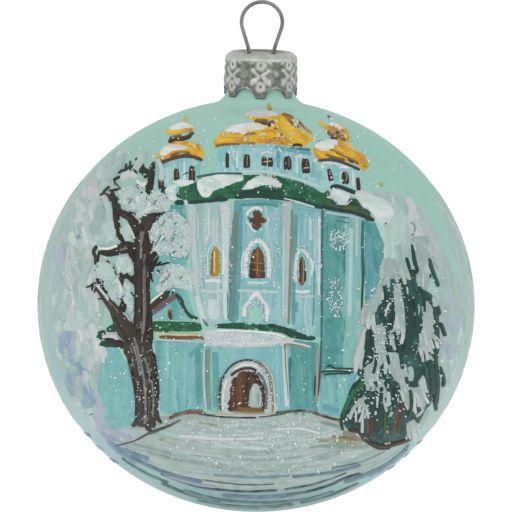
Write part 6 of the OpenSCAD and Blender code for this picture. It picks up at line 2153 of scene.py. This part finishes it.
def metal_with_wear_and_sheen(name, hollow, proud, bloom, bloom_mm, bloom_amount, grain_mm, rough_low, rough_high):
    material, tree, shader = new_material(name)
    wear_and_sheen_tone = group_node(tree, proud_wear_and_sheen, {"Hollow": (*PIGMENT[hollow], 1), "Proud": (*PIGMENT[proud], 1),
                                   "Grain mm": grain_mm})
    bloomed = group_node(tree, mottle, {"Colour": wear_and_sheen_tone.outputs["Colour"],
                                        "Second": (*PIGMENT[bloom], 1),
                                        "Size mm": bloom_mm, "Amount": bloom_amount})
    drawn = group_node(tree, streaks, {"Colour": bloomed.outputs["Colour"], "Per mm": 2.2,
                                       "Contrast": 0.45})
    tree.links.new(drawn.outputs["Colour"], shader.inputs["Base Color"])
    shader.inputs["Metallic"].default_value = 0.85
    gloss = node(tree, "ShaderNodeMapRange", {0: wear_and_sheen_tone.outputs["Mask"], 3: rough_low, 4: rough_high})
    tree.links.new(gloss.outputs[0], shader.inputs["Roughness"])
    bump = node(tree, "ShaderNodeBump", {"Height": wear_and_sheen_tone.outputs["Height"], "Distance": 0.05 * MM,
                                         "Strength": 0.7})
    tree.links.new(bump.outputs[0], shader.inputs["Normal"])
    return material


tinplate = metal_with_wear_and_sheen("tinplate", "tin_dark", "tin_pale", "tin_olive", 7.0, 0.4, 0.8, 0.26, 0.44)
spring_wire = metal_with_wear_and_sheen("spring_wire", "wire_dark", "wire_pale", "tin_dark", 2.5, 0.3, 0.5, 0.35, 0.45)


def keep_wear_and_sheen(piece, values, along):
    """Stores the value each point's tone is mixed by, how proud it stands and on the cap also
        painted highlights, reflections and shade, and the way the metal was drawn there.
    """
    relief = piece.data.attributes.new("relief", "FLOAT", "POINT")
    relief.data.foreach_set("value", np.asarray(values, np.float32))
    brush = piece.data.attributes.new("brush", "FLOAT_VECTOR", "POINT")
    brush.data.foreach_set("vector", np.asarray(along, np.float32).ravel())


cap = make_piece("cap_shell", points, faces, [tinplate], "cap", ["cap"])
# a painted highlight: the rounded shoulder is made pale, as where it catches the light
shoulder_highlight = np.clip((shell[..., 2] - (rim_z - SHOULDER)) / 0.5 + 0.4, 0, 1) * 0.8
# painted reflections: soft upright bands of pale and dark, such as polished tin mirrors
painted_reflection_bands = 0.1 + 0.09 * np.sin(turned * 9 + 1.3) + 0.07 * np.sin(turned * 23)
# the value the tin is mixed by: wear and a painted highlight on the raised ornament, the painted shoulder
# highlight and the painted reflection bands
wear_and_sheen = np.maximum(np.maximum(raised, shoulder_highlight), painted_reflection_bands)[1:].ravel()
turn_mm = np.unwrap(np.arctan2(points[:, 1], points[:, 0])) * skirt_r
keep_wear_and_sheen(cap,
            np.concatenate([np.full(n, TOP_PAINTED_SHADE), np.full(n, UNDER_PROUD), wear_and_sheen,
                            np.full(m * (len(lining) - 1), LINING_PROUD)]),
            np.column_stack([points[:, 2], np.cos(turn_mm / skirt_r) * 6,
                             np.sin(turn_mm / skirt_r) * 6]))

# %% [markdown]
# ## The hanging wire
#
# One length of spring wire: a round loop, two straight sides that close towards the cap, a bend
# at each hole and two long legs that spread inside the neck and hold the cap on. `LEAN` and
# `SPREAD` are how far the sides and the legs stand from upright, in degrees. The legs' ends are
# cut off and ground a little thinner.

# %% Bend the wire
WIRE_R, LOOP_R, BEND, LEAN, SPREAD, LEG = 0.425, 4.625, 3.0, 18, 9, 18.9
loop_z = WIRE_R - LOOP_R
plate_z = rim_z - PLATE / 2 - DISH


def arc_points(cx, cz, r, start, stop, count):
    """Points of an arc of radius r from start to stop degrees."""
    t = np.radians(np.linspace(start, stop, count))
    return np.stack([cx + r * np.cos(t), cz + r * np.sin(t)], 1)


at_plate = arc_points(wire_x + BEND, plate_z, BEND, 180 + SPREAD, 180 - LEAN, 12)
leg = at_plate[0] + LEG * np.array([math.sin(math.radians(SPREAD)), -math.cos(math.radians(SPREAD))])
leg_part = at_plate[0] + (leg - at_plate[0]) * np.array([1, 0.99, 0.975, 0.8, 0.6, 0.4, 0.2])[:, None]
right_side = np.vstack([leg_part, at_plate, arc_points(0, loop_z, LOOP_R, -LEAN, 90, 28)])
wire_line = np.vstack([right_side, right_side[-2::-1] * (-1, 1)])
thick = np.full(len(wire_line), WIRE_R)
thick[[0, -1]], thick[[1, -2]] = WIRE_R * 0.45, WIRE_R * 0.85
run = unit(np.gradient(wire_line, axis=0))
sides = 24
a = np.arange(sides) * 2 * np.pi / sides
wire_points = [(x - w * math.cos(k) * dz, w * math.sin(k), z + w * math.cos(k) * dx)
               for (x, z), (dx, dz), w in zip(wire_line, run, thick) for k in a]
last = len(wire_line) - 1
wire_faces = [(i * sides + j, i * sides + (j + 1) % sides, (i + 1) * sides + (j + 1) % sides,
               (i + 1) * sides + j)
              for i in range(last) for j in range(sides)]
wire_faces += [tuple(reversed(range(sides))), tuple(last * sides + j for j in range(sides))]
wire = make_piece("hanging_wire", wire_points, wire_faces, [spring_wire], "hanger",
                  ["hanger_loop"])
keep_wear_and_sheen(wire, [0.5 + 0.5 * noise.noise(Vector(p) * 0.3) for p in wire_points], wire_points)
